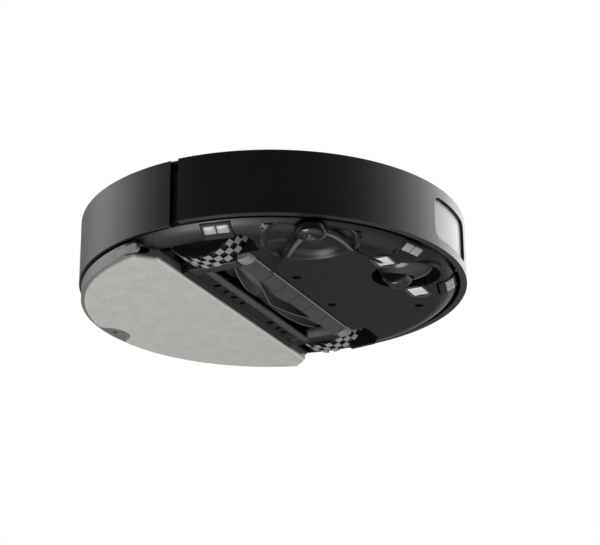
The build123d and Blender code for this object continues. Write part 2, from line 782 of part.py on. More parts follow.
with BuildPart() as caster_wheel:
    with Locations(Plane.YZ):
        with Locations((caster_wheel_y, caster_wheel_radius)):
            Cylinder(caster_wheel_radius, 2 * caster_wheel_half)
    fillet(caster_wheel.edges().filter_by(GeomType.CIRCLE), 3.0)
    with Locations(Plane.YZ):
        with Locations((caster_wheel_y, caster_wheel_radius)):
            Cylinder(caster_axle_radius + running_gap, 60, mode=Mode.SUBTRACT)
save(caster_wheel, "caster_wheel")

# -------------------------------------------- charging contacts and drop sensors
with BuildPart() as charging_contacts:
    for x, y in contact_spots:
        box_between(
            (x - contact_size[1] / 2 + 0.1, y - contact_size[0] / 2 + 0.1, base_low + 0.2),
            (x + contact_size[1] / 2 - 0.1, y + contact_size[0] / 2 - 0.1, base_low + 2.0),
        )
    fillet(charging_contacts.edges().group_by(Axis.Z)[0], 0.5)
save(charging_contacts, "charging_contacts")

for name, angle, radius, depth in sensor_spots:
    place = sensor_place(angle, radius)
    with BuildPart() as sensor:
        with Locations(place):
            Box(sensor_width, depth, sensor_high)
        fillet(sensor.edges().filter_by(Axis.Z), 3.0)
        with Locations(place):
            with Locations((6.2, 0, -sensor_high / 2), (-6.2, 0, -sensor_high / 2)):
                Cylinder(3.4, 1.6, mode=Mode.SUBTRACT)
    save(sensor, f"cliff_sensor_{name}")

# ------------------------------------------------------------------ mopping plate
button_angle = degrees(atan2(56.0, 156.0))
button_half = 13.5
mop_button_half = 3.4
mop_button_z = 8.2


def mop_button_plane(sign):
    """Plane facing outwards at a release button, on the plate's edge."""
    angle = radians(button_angle if sign > 0 else 180 - button_angle)
    out = Vector(cos(angle), sin(angle), 0)
    inside = holder_radius - 18.0
    origin = (inside * cos(angle), inside * sin(angle), mop_button_z)
    return Plane(origin=origin, x_dir=(0, 0, 1), z_dir=out)


holder_face = mop_outline(0.0)
pad_face = mop_outline(0.0, radius=pad_radius)
with BuildPart() as mop_holder:
    with BuildSketch(Plane.XY.offset(pad_thick)):
        add(holder_face)
        with Locations((0, notch_y)):
            Circle(notch_radius, mode=Mode.SUBTRACT)
    extrude(amount=holder_high - pad_thick)
    with BuildSketch(Plane.XY.offset(pad_thick + 3.0)):
        add(holder_face)
        offset(amount=-3.0)
        with Locations((0, notch_y)):
            Circle(notch_radius + 3.0, mode=Mode.SUBTRACT)
    extrude(amount=holder_high, mode=Mode.SUBTRACT)
    with BuildSketch(Plane.XY.offset(pad_thick)):
        with Locations((0, notch_y)):
            Circle(notch_radius)
        Circle(holder_radius, mode=Mode.INTERSECT)
        with Locations((0, notch_y - notch_radius + 12)):
            Circle(2.5, mode=Mode.SUBTRACT)
    extrude(amount=2.5)
    for sign in (1, -1):
        with BuildSketch(mop_button_plane(sign)):
            SlotOverall(2 * button_half + 0.6, 2 * mop_button_half + 0.6, rotation=90)
        extrude(amount=25, mode=Mode.SUBTRACT)
save(mop_holder, "mop_holder")

with BuildPart() as mop_pad:
    with BuildSketch():
        add(pad_face)
        with Locations((0, notch_y)):
            Circle(notch_radius, mode=Mode.SUBTRACT)
    extrude(amount=pad_thick)
save(mop_pad, "mop_pad")

for side, sign in SIDES:
    with BuildPart() as mop_button:
        with BuildSketch(mop_button_plane(sign)):
            SlotOverall(2 * button_half, 2 * mop_button_half, rotation=90)
        extrude(amount=25)
        with BuildSketch(Plane.XY):
            Circle(holder_radius)
            Circle(holder_radius - 4.0, mode=Mode.SUBTRACT)
        extrude(amount=holder_high, mode=Mode.INTERSECT)
    save(mop_button, f"mop_button_{side}")

# ------------------------------------------------------------------ inner pieces
bin_front, bin_rear, bin_half = 40.0, 118.0, 70.0
bin_low, bin_high = seat_z, 66.0
bin_wall = 2.0
with BuildPart() as dust_bin:
    box_between((-bin_half, bin_front, bin_low), (bin_half, bin_rear, bin_high))
    fillet(dust_bin.edges().filter_by(Axis.Z), 4.0)
    box_between(
        (-bin_half + bin_wall, bin_front + bin_wall, bin_low + bin_wall),
        (bin_half - bin_wall, bin_rear - bin_wall, bin_high + 1),
        mode=Mode.SUBTRACT,
    )
    box_between(
        (-duct_half, bin_front - 1, duct_low),
        (duct_half, bin_front + 10, duct_high),
        mode=Mode.SUBTRACT,
    )
    box_between((bin_half - 5, 60, 26), (bin_half + 1, 100, 56), mode=Mode.SUBTRACT)
save(dust_bin, "dust_bin")

with BuildPart() as bin_lid:
    box_between((-bin_half, bin_front, bin_high), (bin_half, bin_rear, bin_high + 3))
    fillet(bin_lid.edges().filter_by(Axis.Z), 4.0)
    # Carrying handle on the lid.
    box_between((-25, 76, bin_high + 3), (25, 80, bin_high + 9))
save(bin_lid, "bin_lid")

with BuildPart() as intake_duct:
    duct_front = brush_y + bay_room + bay_wall + 0.2
    box_between(
        (-duct_half - 2, duct_front, duct_low - 2), (duct_half + 2, bin_front, duct_high + 2)
    )
    box_between(
        (-duct_half, duct_front - 1, duct_low),
        (duct_half, bin_front + 1, duct_high),
        mode=Mode.SUBTRACT,
    )
save(intake_duct, "intake_duct")

with BuildPart() as bin_filter:
    box_between((bin_half - bin_wall, 60.2, 26.2), (bin_half + 6, 99.8, 55.8))
save(bin_filter, "bin_filter")

fan_x = bin_half + 6 + 17
with BuildPart() as suction_fan:
    with Locations((fan_x + 1, 82, seat_z + 16)):
        Cylinder(18.0, 32.0)
    box_between((bin_half + 6, 62, seat_z + 8), (fan_x, 98, seat_z + 30))
save(suction_fan, "suction_fan")

with BuildPart() as water_tank:
    box_between((-104, 60, seat_z), (-bin_half - 0.5, 112, 62))
    fillet(water_tank.edges().filter_by(Axis.Z), 8.0)
save(water_tank, "water_tank")

with BuildPart() as battery:
    box_between((-28, -95, base_low + base_wall), (72, -50.5, 46))
    fillet(battery.edges().filter_by(Axis.Z), 6.0)
save(battery, "battery")

board_spots = [(-20, -60), (50, -60), (-20, -82), (50, -82)]
with BuildPart() as main_board:
    box_between((-58, -96, 50), (70, -50, 51.6))
    for x, y in board_spots:
        with Locations((x, y, 48)):
            Cylinder(3.0, 4.0)
    box_between((-40, -92, 51.6), (-8, -72, 54.6))
    box_between((20, -88, 51.6), (44, -66, 53.6))
save(main_board, "main_board")

with BuildPart() as bumper_switches:
    for angle in (-60, -120):
        turn = radians(angle)
        spot = ((base_radius - 7.5) * cos(turn), (base_radius - 7.5) * sin(turn), 40)
        with Locations(Location(spot, (0, 0, angle + 90))):
            Box(14, 6, 9)
    with BuildSketch(Plane.XY.offset(30)):
        Circle(base_radius - 3.5)
    extrude(amount=20, mode=Mode.INTERSECT)
save(bumper_switches, "bumper_switches")

with BuildPart() as bumper_springs:
    for x in (64.0, -64.0):
        y_in = -sqrt((base_radius - 1) ** 2 - (abs(x) - 3) ** 2) - 0.1
        y_out = -sqrt((bumper_radius - shell_wall) ** 2 - (abs(x) + 3) ** 2) + 0.1
        with BuildSketch(Plane.XZ.offset(-y_in)):
            with Locations((x, 35)):
                Circle(3.0)
                Circle(2.0, mode=Mode.SUBTRACT)
        extrude(amount=y_in - y_out)
save(bumper_springs, "bumper_springs")

with BuildPart() as bumper_light:
    with BuildSketch(Plane.XZ.offset(light_plane_y)):
        with Locations((light_x, light_z)):
            SlotOverall(light_size[0], light_size[1])
    extrude(amount=3.0)
    with BuildSketch(Plane.XY.offset(light_z - 9)):
        Circle(bumper_radius)
    extrude(amount=13, mode=Mode.INTERSECT)
save(bumper_light, "bumper_light")

with BuildPart() as base_screws:
    for x, y in screw_spots:
        with Locations((x, y, base_low + 3.0)):
            Cylinder(screw_radius, 2.0)
        with Locations((x, y, base_low + 2.0)):
            Box(4.6, 1.0, 1.6, mode=Mode.SUBTRACT)
            Box(1.0, 4.6, 1.6, mode=Mode.SUBTRACT)
save(base_screws, "base_screws")
print(len(set(written)), "pieces")
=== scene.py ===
# %% [markdown]
# # A robot vacuum seen from below
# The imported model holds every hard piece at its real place. This script gives each of
# them its finish and adds the soft and finely shaped pieces: the mop pad, the brushes,
# the ribbed brush cover and the dished recess in the tray. The frame is the maker's own:
# metres, +Z up, the floor at z = 0, the robot's front towards -Y and its left towards +X.

import json
import math
import random

import bmesh
import bpy
from mathutils import Matrix, Vector


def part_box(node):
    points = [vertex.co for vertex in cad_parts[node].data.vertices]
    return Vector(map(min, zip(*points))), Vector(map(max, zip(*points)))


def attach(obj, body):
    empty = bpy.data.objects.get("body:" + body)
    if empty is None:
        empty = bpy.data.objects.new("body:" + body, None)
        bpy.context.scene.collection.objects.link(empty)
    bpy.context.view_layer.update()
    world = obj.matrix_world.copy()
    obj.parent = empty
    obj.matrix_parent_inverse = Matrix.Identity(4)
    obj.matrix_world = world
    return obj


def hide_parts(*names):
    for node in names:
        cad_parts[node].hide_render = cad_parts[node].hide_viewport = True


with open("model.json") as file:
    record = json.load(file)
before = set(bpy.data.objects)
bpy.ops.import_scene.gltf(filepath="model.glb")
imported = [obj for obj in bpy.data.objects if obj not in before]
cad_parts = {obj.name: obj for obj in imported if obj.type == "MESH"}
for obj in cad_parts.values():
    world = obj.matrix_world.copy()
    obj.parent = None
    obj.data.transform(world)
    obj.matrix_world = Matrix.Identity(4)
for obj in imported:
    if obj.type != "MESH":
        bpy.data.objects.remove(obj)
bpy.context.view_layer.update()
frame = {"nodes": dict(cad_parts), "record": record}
nodes = frame["nodes"]

# %% [markdown]
# ## The camera
# The robot is seen from below its right side, so that the underside and the long wall
# both show. A long lens keeps the round body from looking stretched. The camera looks
# past the robot's middle, because the body sits a little left of the centre.

# %% Place the camera
VIEW_AZIMUTH = math.radians(-65.0)
VIEW_ELEVATION = math.radians(-21.61)
VIEW_ROLL = math.radians(0.44)
VIEW_DISTANCE = 1.5825
AIM_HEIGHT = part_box("bumper")[0].z
SIDESTEP, RISE = 0.0262, 0.0164

towards = Vector((
    math.sin(VIEW_AZIMUTH) * math.cos(VIEW_ELEVATION),
    -math.cos(VIEW_AZIMUTH) * math.cos(VIEW_ELEVATION),
    math.sin(VIEW_ELEVATION),
))
level_right = Vector((0, 0, 1)).cross(towards).normalized()
level_up = towards.cross(level_right)
right = level_right * math.cos(VIEW_ROLL) - level_up * math.sin(VIEW_ROLL)
up = level_right * math.sin(VIEW_ROLL) + level_up * math.cos(VIEW_ROLL)

bpy.ops.object.camera_add()
camera = bpy.context.object
camera.name = "camera"
camera.data.sensor_width = 36.0
camera.data.lens = 106.24
camera.data.clip_end = 50.0
place = Vector((0, 0, AIM_HEIGHT)) + towards * VIEW_DISTANCE + right * SIDESTEP + up * RISE
facing = Matrix((right, up, towards)).transposed().to_4x4()
camera.matrix_world = Matrix.Translation(place) @ facing
bpy.context.scene.camera = camera
print("camera at", [round(v, 3) for v in place])

# %% [markdown]
# ## Studio light
# Black plastic shows hardly any colour of its own: it shows what it reflects. The studio
# is a white backdrop for the camera, but the robot sees a dim room with two bright ends,
# one ahead of it and one behind it. They draw the long soft gradients on the wall and
# leave its middle nearly black. The floor side glows, which models the curved rim.

# %% Node helper
def node(tree, kind, **sockets):
    """A new node with some of its inputs set by name."""
    made = tree.nodes.new(kind)
    for name, value in sockets.items():
        made.inputs[name.replace("_", " ")].default_value = value
    return made


def sky_place(azimuth, elevation):
    """The direction with this azimuth (0 is ahead of the robot) and elevation."""
    a, e = math.radians(azimuth), math.radians(elevation)
    return Vector((math.sin(a) * math.cos(e), -math.cos(a) * math.cos(e), math.sin(e)))


print("helpers ready")

# %% Build the surround
bpy.context.scene.view_settings.view_transform = "Standard"
world = bpy.data.worlds.new("studio")
bpy.context.scene.world = world
world.use_nodes = True
tree = world.node_tree
tree.nodes.clear()
direction = node(tree, "ShaderNodeTexCoord")
split = node(tree, "ShaderNodeSeparateXYZ")
ramp = node(tree, "ShaderNodeValToRGB")
half = node(tree, "ShaderNodeMath")
half.operation = "MULTIPLY_ADD"
half.inputs[1].default_value = 0.5
half.inputs[2].default_value = 0.5
tree.links.new(direction.outputs["Generated"], split.inputs[0])
tree.links.new(split.outputs["Z"], half.inputs[0])
tree.links.new(half.outputs[0], ramp.inputs[0])
# Brightness of the room from straight down (0) to straight up (1).
LEVELS = ((0.0, 0.7), (0.18, 0.3), (0.27, 0.1), (0.34, 0.04), (0.45, 0.04), (0.9, 0.12))
stops = ramp.color_ramp.elements
stops[0].position, stops[0].color = LEVELS[0][0], (LEVELS[0][1],) * 3 + (1,)
stops[1].position, stops[1].color = LEVELS[-1][0], (LEVELS[-1][1],) * 3 + (1,)
for place_on_ramp, level in LEVELS[1:-1]:
    stops.new(place_on_ramp).color = (level,) * 3 + (1,)
total = ramp.outputs[0]
print("room levels", LEVELS)

# %% [markdown]
# A bright end is a power of the angle to its middle: the higher the power, the tighter
# the glow.

# %% Bright ends of the room
BRIGHT_ENDS = (("ahead", 66.0, 40.0, 4.0, 3.4), ("behind", 188.0, 22.0, 9.0, 1.75))
for name, azimuth, elevation, power, strength in BRIGHT_ENDS:
    facing_it = node(tree, "ShaderNodeVectorMath")
    facing_it.operation = "DOT_PRODUCT"
    facing_it.inputs[1].default_value = sky_place(azimuth, elevation)
    tree.links.new(direction.outputs["Generated"], facing_it.inputs[0])
    front_only = node(tree, "ShaderNodeMath")
    front_only.operation = "MAXIMUM"
    front_only.inputs[1].default_value = 0.0
    tree.links.new(facing_it.outputs["Value"], front_only.inputs[0])
    tight = node(tree, "ShaderNodeMath")
    tight.operation = "POWER"
    tight.inputs[1].default_value = power
    tree.links.new(front_only.outputs[0], tight.inputs[0])
    added = node(tree, "ShaderNodeVectorMath")
    added.operation = "MULTIPLY_ADD"
    added.inputs[1].default_value = (strength,) * 3
    tree.links.new(tight.outputs[0], added.inputs[0])
    tree.links.new(total, added.inputs[2])
    total = added.outputs[0]
    print("bright end", name, "at azimuth", azimuth)

# %% Show the camera a white backdrop
BACKDROP = (1.0, 1.0, 1.0, 1.0)
output = node(tree, "ShaderNodeOutputWorld")
seen = node(tree, "ShaderNodeBackground", Color=BACKDROP, Strength=1.0)
glow = node(tree, "ShaderNodeBackground", Strength=1.0)
choose = node(tree, "ShaderNodeMixShader")
path = node(tree, "ShaderNodeLightPath")
tree.links.new(total, glow.inputs["Color"])
tree.links.new(path.outputs["Is Camera Ray"], choose.inputs[0])
tree.links.new(glow.outputs[0], choose.inputs[1])
tree.links.new(seen.outputs[0], choose.inputs[2])
tree.links.new(choose.outputs[0], output.inputs[0])

# %% One soft box under the robot
under = sky_place(-120.0, -60.0)
bpy.ops.object.light_add(type="AREA", location=under * 2.0)
under_box = bpy.context.object
under_box.name = "under_box"
under_box.data.shape = "RECTANGLE"
under_box.data.size, under_box.data.size_y = 1.0, 1.0
under_box.data.energy = 17.5
under_box.rotation_euler = (-under).to_track_quat("-Z", "Y").to_euler()
print("soft box at", [round(v, 2) for v in under_box.location])

# %% [markdown]
# ## Finishes
# Almost everything here is moulded plastic. The mould is spark-eroded, which leaves a
# grain too fine to see as shape but coarse enough to blur a reflection, and no moulding
# is quite even: it carries faint broad clouds. One recipe makes them all, with its own
# colour, roughness and grain size for each finish. Patterns read Object coordinates, so
# they stay on the surface when a piece moves.

# %% One recipe for moulded plastic
def plastic(name, colour, rough, grain=0.15, scale=2200.0, clouds=0.12, rub=0.06, coat=0.0):
    """Moulded plastic with an eroded grain, faint clouds and uneven gloss."""
    made = bpy.data.materials.new(name)
    made.use_nodes = True
    tree = made.node_tree
    shader = tree.nodes["Principled BSDF"]
    shader.inputs["Coat Weight"].default_value = coat
    shader.inputs["Coat Roughness"].default_value = 0.2
    place = node(tree, "ShaderNodeTexCoord")
    fine = node(tree, "ShaderNodeTexNoise", Scale=scale, Detail=2.0)
    broad = node(tree, "ShaderNodeTexNoise", Scale=38.0, Detail=4.0)
    for texture in (fine, broad):
        tree.links.new(place.outputs["Object"], texture.inputs["Vector"])
    tint = node(tree, "ShaderNodeMix")
    tint.data_type = "RGBA"
    tint.inputs["A"].default_value = tuple(c * (1 - clouds) for c in colour) + (1,)
    tint.inputs["B"].default_value = tuple(c * (1 + clouds) for c in colour) + (1,)
    tree.links.new(broad.outputs["Fac"], tint.inputs["Factor"])
    tree.links.new(tint.outputs["Result"], shader.inputs["Base Color"])
    gloss = node(tree, "ShaderNodeMapRange")
    gloss.inputs["To Min"].default_value = rough - rub
    gloss.inputs["To Max"].default_value = rough + rub
    tree.links.new(broad.outputs["Fac"], gloss.inputs["Value"])
    tree.links.new(gloss.outputs["Result"], shader.inputs["Roughness"])
    bump = node(tree, "ShaderNodeBump", Strength=grain, Distance=0.00005)
    tree.links.new(fine.outputs["Fac"], bump.inputs["Height"])
    tree.links.new(bump.outputs["Normal"], shader.inputs["Normal"])
    return made


finishes = {
    "shell_black": plastic("shell_black", (0.009, 0.009, 0.0092), 0.33, coat=0.2),
    "deck_black": plastic("deck_black", (0.018, 0.018, 0.019), 0.45),
    "base_black": plastic("base_black", (0.011, 0.011, 0.0112), 0.34, scale=1500.0),
    "rail_black": plastic("rail_black", (0.006, 0.006, 0.006), 0.45),
    "dome_black": plastic("dome_black", (0.006, 0.006, 0.0062), 0.16, clouds=0.05, coat=0.5),
    # well_black carries painted shade: near black for the shade at the bottom of wells and bays. The
    # sensor surrounds use it too.
    "well_black": plastic("well_black", (0.0015, 0.0015, 0.0015), 0.6),
    "frame_grey": plastic("frame_grey", (0.075, 0.075, 0.077), 0.3),
    "window_grey": plastic("window_grey", (0.52, 0.53, 0.53), 0.3, clouds=0.02),
    "indicator_red": plastic("indicator_red", (0.6, 0.03, 0.03), 0.3),
    "brush_rubber": plastic("brush_rubber", (0.12, 0.12, 0.123), 0.35),
    "brush_core_grey": plastic("brush_core_grey", (0.01, 0.01, 0.01), 0.4),
    "paddle_grey": plastic("paddle_grey", (0.13, 0.13, 0.133), 0.35),
    "bristle_black": plastic("bristle_black", (0.008, 0.008, 0.008), 0.45),
    "hub_plastic": plastic("hub_plastic", (0.022, 0.022, 0.023), 0.35),
    "caster_plastic": plastic("caster_plastic", (0.02, 0.02, 0.021), 0.2, coat=0.3),
    "sensor_black": plastic("sensor_black", (0.004, 0.004, 0.004), 0.25),
    "lens_grey": plastic("lens_grey", (0.45, 0.45, 0.46), 0.15, clouds=0.03, coat=0.5),
    "holder_grey": plastic("holder_grey", (0.2, 0.2, 0.205), 0.3),
    "button_grey": plastic("button_grey", (0.28, 0.28, 0.285), 0.3),
    "screw_black": plastic("screw_black", (0.004, 0.004, 0.004), 0.35),
    "bin_smoke": plastic("bin_smoke", (0.1, 0.1, 0.11), 0.2),
    "battery_wrap": plastic("battery_wrap", (0.05, 0.1, 0.2), 0.3),
    "board_green": plastic("board_green", (0.02, 0.12, 0.05), 0.35),
    "filter_paper": plastic("filter_paper", (0.7, 0.7, 0.68), 0.9),
}
print(len(finishes), "plastics")

# %% [markdown]
# ### Metal
# The contacts are nickel-plated plates, wiped bright by the dock's springs. Plated and
# turned metal shows long thin scratches, so the noise is stretched along one axis.

# %% Metals
def metal(name, colour, rough, polish=1.0, stretch=(60.0, 2500.0, 2500.0)):
    """Metal with fine scratches along one direction; polish is its metallic share."""
    made = bpy.data.materials.new(name)
    made.use_nodes = True
    tree = made.node_tree
    shader = tree.nodes["Principled BSDF"]
    shader.inputs["Metallic"].default_value = polish
    shader.inputs["Base Color"].default_value = tuple(colour) + (1,)
    place = node(tree, "ShaderNodeTexCoord")
    turn = node(tree, "ShaderNodeMapping", Scale=stretch)
    lines = node(tree, "ShaderNodeTexNoise", Scale=1.0, Detail=3.0)
    tree.links.new(place.outputs["Object"], turn.inputs["Vector"])
    tree.links.new(turn.outputs["Vector"], lines.inputs["Vector"])
    gloss = node(tree, "ShaderNodeMapRange")
    gloss.inputs["To Min"].default_value = rough * 0.7
    gloss.inputs["To Max"].default_value = rough * 1.3
    tree.links.new(lines.outputs["Fac"], gloss.inputs["Value"])
    tree.links.new(gloss.outputs["Result"], shader.inputs["Roughness"])
    return made


finishes["contact_metal"] = metal("contact_metal", (0.95, 0.95, 0.94), 0.35, 0.15)
finishes["steel"] = metal("steel", (0.55, 0.55, 0.56), 0.3)
finishes["motor_steel"] = metal("motor_steel", (0.5, 0.5, 0.5), 0.4)

# %% [markdown]
# ### Tyre rubber
# The tread's raised blocks get a painted highlight: their crowns are pale, where light falls on their
# tops, while the groove between them stays black. Both belong to one moulding, so the colour follows
# the distance from the axle instead of a second piece.

# %% Tyres with a painted highlight on their blocks
def tyre_rubber(name, axle, groove, crown):
    """Black rubber with a painted highlight: pale on the tread blocks' crowns, where light falls."""
    made = plastic(name, (0.008, 0.008, 0.008), 0.5, grain=0.3, clouds=0.2)
    tree = made.node_tree
    shader = tree.nodes["Principled BSDF"]
    place = next(n for n in tree.nodes if n.bl_idname == "ShaderNodeTexCoord")
    shift = node(tree, "ShaderNodeMapping", Location=(0, -axle[0], -axle[1]))
    flat = node(tree, "ShaderNodeMapping", Scale=(0, 1, 1))
    away = node(tree, "ShaderNodeVectorMath")
    away.operation = "LENGTH"
    # Painted highlight: the crowns, farthest from the axle, turn pale as if lit.
    lit_crown = node(tree, "ShaderNodeMapRange")
    lit_crown.inputs["From Min"].default_value = groove
    lit_crown.inputs["From Max"].default_value = crown
    pale = node(tree, "ShaderNodeMix")
    pale.data_type = "RGBA"
    # Colour of the painted highlight on the crowns.
    pale.inputs["B"].default_value = (0.36, 0.36, 0.355, 1)
    black = shader.inputs["Base Color"].links[0].from_socket
    tree.links.new(place.outputs["Object"], shift.inputs["Vector"])
    tree.links.new(shift.outputs["Vector"], flat.inputs["Vector"])
    tree.links.new(flat.outputs["Vector"], away.inputs[0])
    tree.links.new(away.outputs["Value"], lit_crown.inputs["Value"])
    tree.links.new(lit_crown.outputs["Result"], pale.inputs["Factor"])
    tree.links.new(black, pale.inputs["A"])
    tree.links.new(pale.outputs["Result"], shader.inputs["Base Color"])
    return made


tyre_low, tyre_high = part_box("tyre_left")
wheel_radius = (tyre_high.z - tyre_low.z) / 2
axle = ((tyre_low.y + tyre_high.y) / 2, (tyre_low.z + tyre_high.z) / 2)
finishes["tyre_rubber"] = tyre_rubber("tyre_rubber", axle, wheel_radius * 0.984, wheel_radius * 0.996)

# %% [markdown]
# ### The bumper's lower edge
# A painted highlight lightens the bumper's lower edge, standing in for the light caught by its
# rounded edge.

# %% Painted highlight on the lower edge
HIGHLIGHT_RISE = 0.0012
shell = finishes["shell_black"].node_tree
shell_shader = shell.nodes["Principled BSDF"]
shell_place = next(n for n in shell.nodes if n.bl_idname == "ShaderNodeTexCoord")
height = node(shell, "ShaderNodeSeparateXYZ")
# Painted highlight: shell_black fades to a paler grey over the lowest 1.2 mm of the bumper.
edge_highlight = node(shell, "ShaderNodeMapRange")
edge_highlight.inputs["From Min"].default_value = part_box("bumper")[0].z + HIGHLIGHT_RISE
edge_highlight.inputs["From Max"].default_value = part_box("bumper")[0].z
edge_highlight_mix = node(shell, "ShaderNodeMix")
edge_highlight_mix.data_type = "RGBA"
edge_highlight_mix.inputs["B"].default_value = (0.035, 0.035, 0.035, 1)
plain = shell_shader.inputs["Base Color"].links[0].from_socket
shell.links.new(shell_place.outputs["Object"], height.inputs[0])
shell.links.new(height.outputs["Z"], edge_highlight.inputs["Value"])
shell.links.new(edge_highlight.outputs["Result"], edge_highlight_mix.inputs["Factor"])
shell.links.new(plain, edge_highlight_mix.inputs["A"])
shell.links.new(edge_highlight_mix.outputs["Result"], shell_shader.inputs["Base Color"])

# %% [markdown]
# ### Dressing the carried-over pieces
# Each CAD node names its finish in the record. A few get a darker one, painted shade: the same mould
# colour looks black in the shade at the bottom of a well, so the wells and bays are coloured near
# black.

# %% Give every CAD node its finish
def wear(finish, *names):
    """Put this finish in every slot of these CAD nodes."""
    for name in names:
        data = nodes[name].data
        data.materials.clear()
        data.materials.append(finish)


for part in frame["record"]["subparts"]:
    slot = part["material_slot"]
    wear(finishes.get(slot, finishes["deck_black"]), part["node"])
# Painted shade: the wells, bays, front frame, caster socket and brush bearings get the near-black
# well_black.
wear(finishes["well_black"], "wheel_well_left", "wheel_well_right", "brush_bay", "front_frame")
wear(finishes["well_black"], "caster_socket", "brush_bearings")
wear(finishes["screw_black"], "base_screws")

# %% [markdown]
# ## Tools for the modelled pieces
# Every new piece starts from a primitive at its real place, so its numbers are the
# robot's own millimetres. Small helpers keep the steps short. The first ones start a flat
# face, pull it into a bar and pick faces by a test. The last one finishes a piece: its
# normals, smooth shading, finish, and the body it moves with.

# %% Modelling helpers
MM = 0.001


def deselect():
    """Leave edit mode and select nothing."""
    if bpy.context.object and bpy.context.object.mode != "OBJECT":
        bpy.ops.object.mode_set(mode="OBJECT")
    bpy.ops.object.select_all(action="DESELECT")


def start_face(points):
    """A flat face through these corners in millimetres, in edit mode and selected."""
    deselect()
    bpy.ops.mesh.primitive_circle_add(vertices=len(points), fill_type="NGON")
    piece = bpy.context.object
    for corner, point in zip(piece.data.vertices, points):
        corner.co = Vector(point) * MM
    bpy.ops.object.mode_set(mode="EDIT")
    bpy.ops.mesh.select_all(action="SELECT")
    return piece


def pull(x=0.0, y=0.0, z=0.0):
    """Extrude what is selected by this many millimetres."""
    bpy.ops.mesh.extrude_region_move(
        TRANSFORM_OT_translate={"value": (x * MM, y * MM, z * MM)}
    )


def along_x(points, length):
    """A solid bar: this outline pulled along X, back in object mode."""
    piece = start_face(points)
    pull(x=length)
    bpy.ops.object.mode_set(mode="OBJECT")
    return piece


def pick(piece, wanted):
    """In edit mode: select only the faces whose middle (mm) and normal pass the test."""
    bpy.ops.mesh.select_mode(type="FACE")
    bpy.ops.mesh.select_all(action="DESELECT")
    shape = bmesh.from_edit_mesh(piece.data)
    for face in shape.faces:
        face.select_set(bool(wanted(face.calc_center_median() / MM, face.normal)))
    bmesh.update_edit_mesh(piece.data)


def modify(piece, kind, **settings):
    """Add a modifier with these settings and apply it."""
    deselect()
    piece.select_set(True)
    bpy.context.view_layer.objects.active = piece
    made = piece.modifiers.new(kind.lower(), kind)
    for name, value in settings.items():
        setattr(made, name, value)
    bpy.ops.object.modifier_apply(modifier=made.name)


def join(pieces):
    """Make one piece of several."""
    deselect()
    for piece in pieces:
        piece.select_set(True)
    bpy.context.view_layer.objects.active = pieces[0]
    bpy.ops.object.join()
    return pieces[0]


def settle(piece, name, body, finish, smooth=35.0, stands_for=()):
    """Finish a piece: place in the mesh, normals out, shading, material and body."""
    deselect()
    piece.select_set(True)
    bpy.context.view_layer.objects.active = piece
    bpy.ops.object.transform_apply(location=True, rotation=True, scale=True)
    bpy.ops.object.mode_set(mode="EDIT")
    bpy.ops.mesh.select_all(action="SELECT")
    bpy.ops.mesh.remove_doubles(threshold=0.00001)
    bpy.ops.mesh.normals_make_consistent(inside=False)
    bpy.ops.object.mode_set(mode="OBJECT")
    bpy.ops.object.shade_smooth_by_angle(angle=math.radians(smooth))
    piece.name = name
    piece.data.materials.clear()
    piece.data.materials.append(finish)
    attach(piece, body)
    if stands_for:
        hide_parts(*stands_for)
    print(name, len(piece.data.polygons), "faces")


def box_mm(name):
    """A node's corners in millimetres."""
    low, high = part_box(name)
    return low / MM, high / MM


# %% [markdown]
# ## The mop pad
# A mop pad is a sheet of short-pile microfibre on foam, cut with a hot blade, so its rim
# is pressed thin and its middle stands proud. Its outline is a D with a scoop at the back
# for a fingertip. A grid whose columns run from the straight edge to the arc follows that
# outline exactly, and its height comes from the distance to the nearest edge.

# %% Outline of the pad
pad_low, pad_high = box_mm("mop_pad")
PAD_RADIUS = pad_high.y
PAD_FRONT = pad_low.y
PAD_SIDE = pad_high.x
PAD_SIDE_Y = PAD_FRONT + 15.0
PAD_CHAMFER_X = PAD_SIDE - 14.6
NOTCH_RADIUS = 24.6
NOTCH_Y = box_mm("mop_holder")[1].y + 4.6
notch_rise = (PAD_RADIUS**2 - NOTCH_RADIUS**2 + NOTCH_Y**2) / (2 * NOTCH_Y)
NOTCH_HALF = math.sqrt(PAD_RADIUS**2 - notch_rise**2)


def pad_front_edge(x):
    """Where the pad starts at this x: its straight edge or a chamfered corner."""
    beyond = max(abs(x) - PAD_CHAMFER_X, 0.0)
    return PAD_FRONT + beyond * (PAD_SIDE_Y - PAD_FRONT) / (PAD_SIDE - PAD_CHAMFER_X)


def pad_rear_edge(x):
    """Where the pad ends at this x: the arc or the fingertip scoop."""
    if abs(x) < NOTCH_HALF:
        return NOTCH_Y - math.sqrt(NOTCH_RADIUS**2 - x * x)
    return math.sqrt(PAD_RADIUS**2 - x * x)


def pad_edge_distance(x, y):
    """Roughly how far this point is from the pad's nearest edge."""
    chamfer = (y - pad_front_edge(x)) * (0.7 if abs(x) > PAD_CHAMFER_X else 1.0)
    scoop = math.hypot(x, y - NOTCH_Y) - NOTCH_RADIUS
    return max(min(chamfer, PAD_SIDE - abs(x), PAD_RADIUS - math.hypot(x, y), scoop), 0.0)


print("the pad is", round(2 * PAD_SIDE), "mm wide and", round(PAD_RADIUS - PAD_FRONT), "deep")

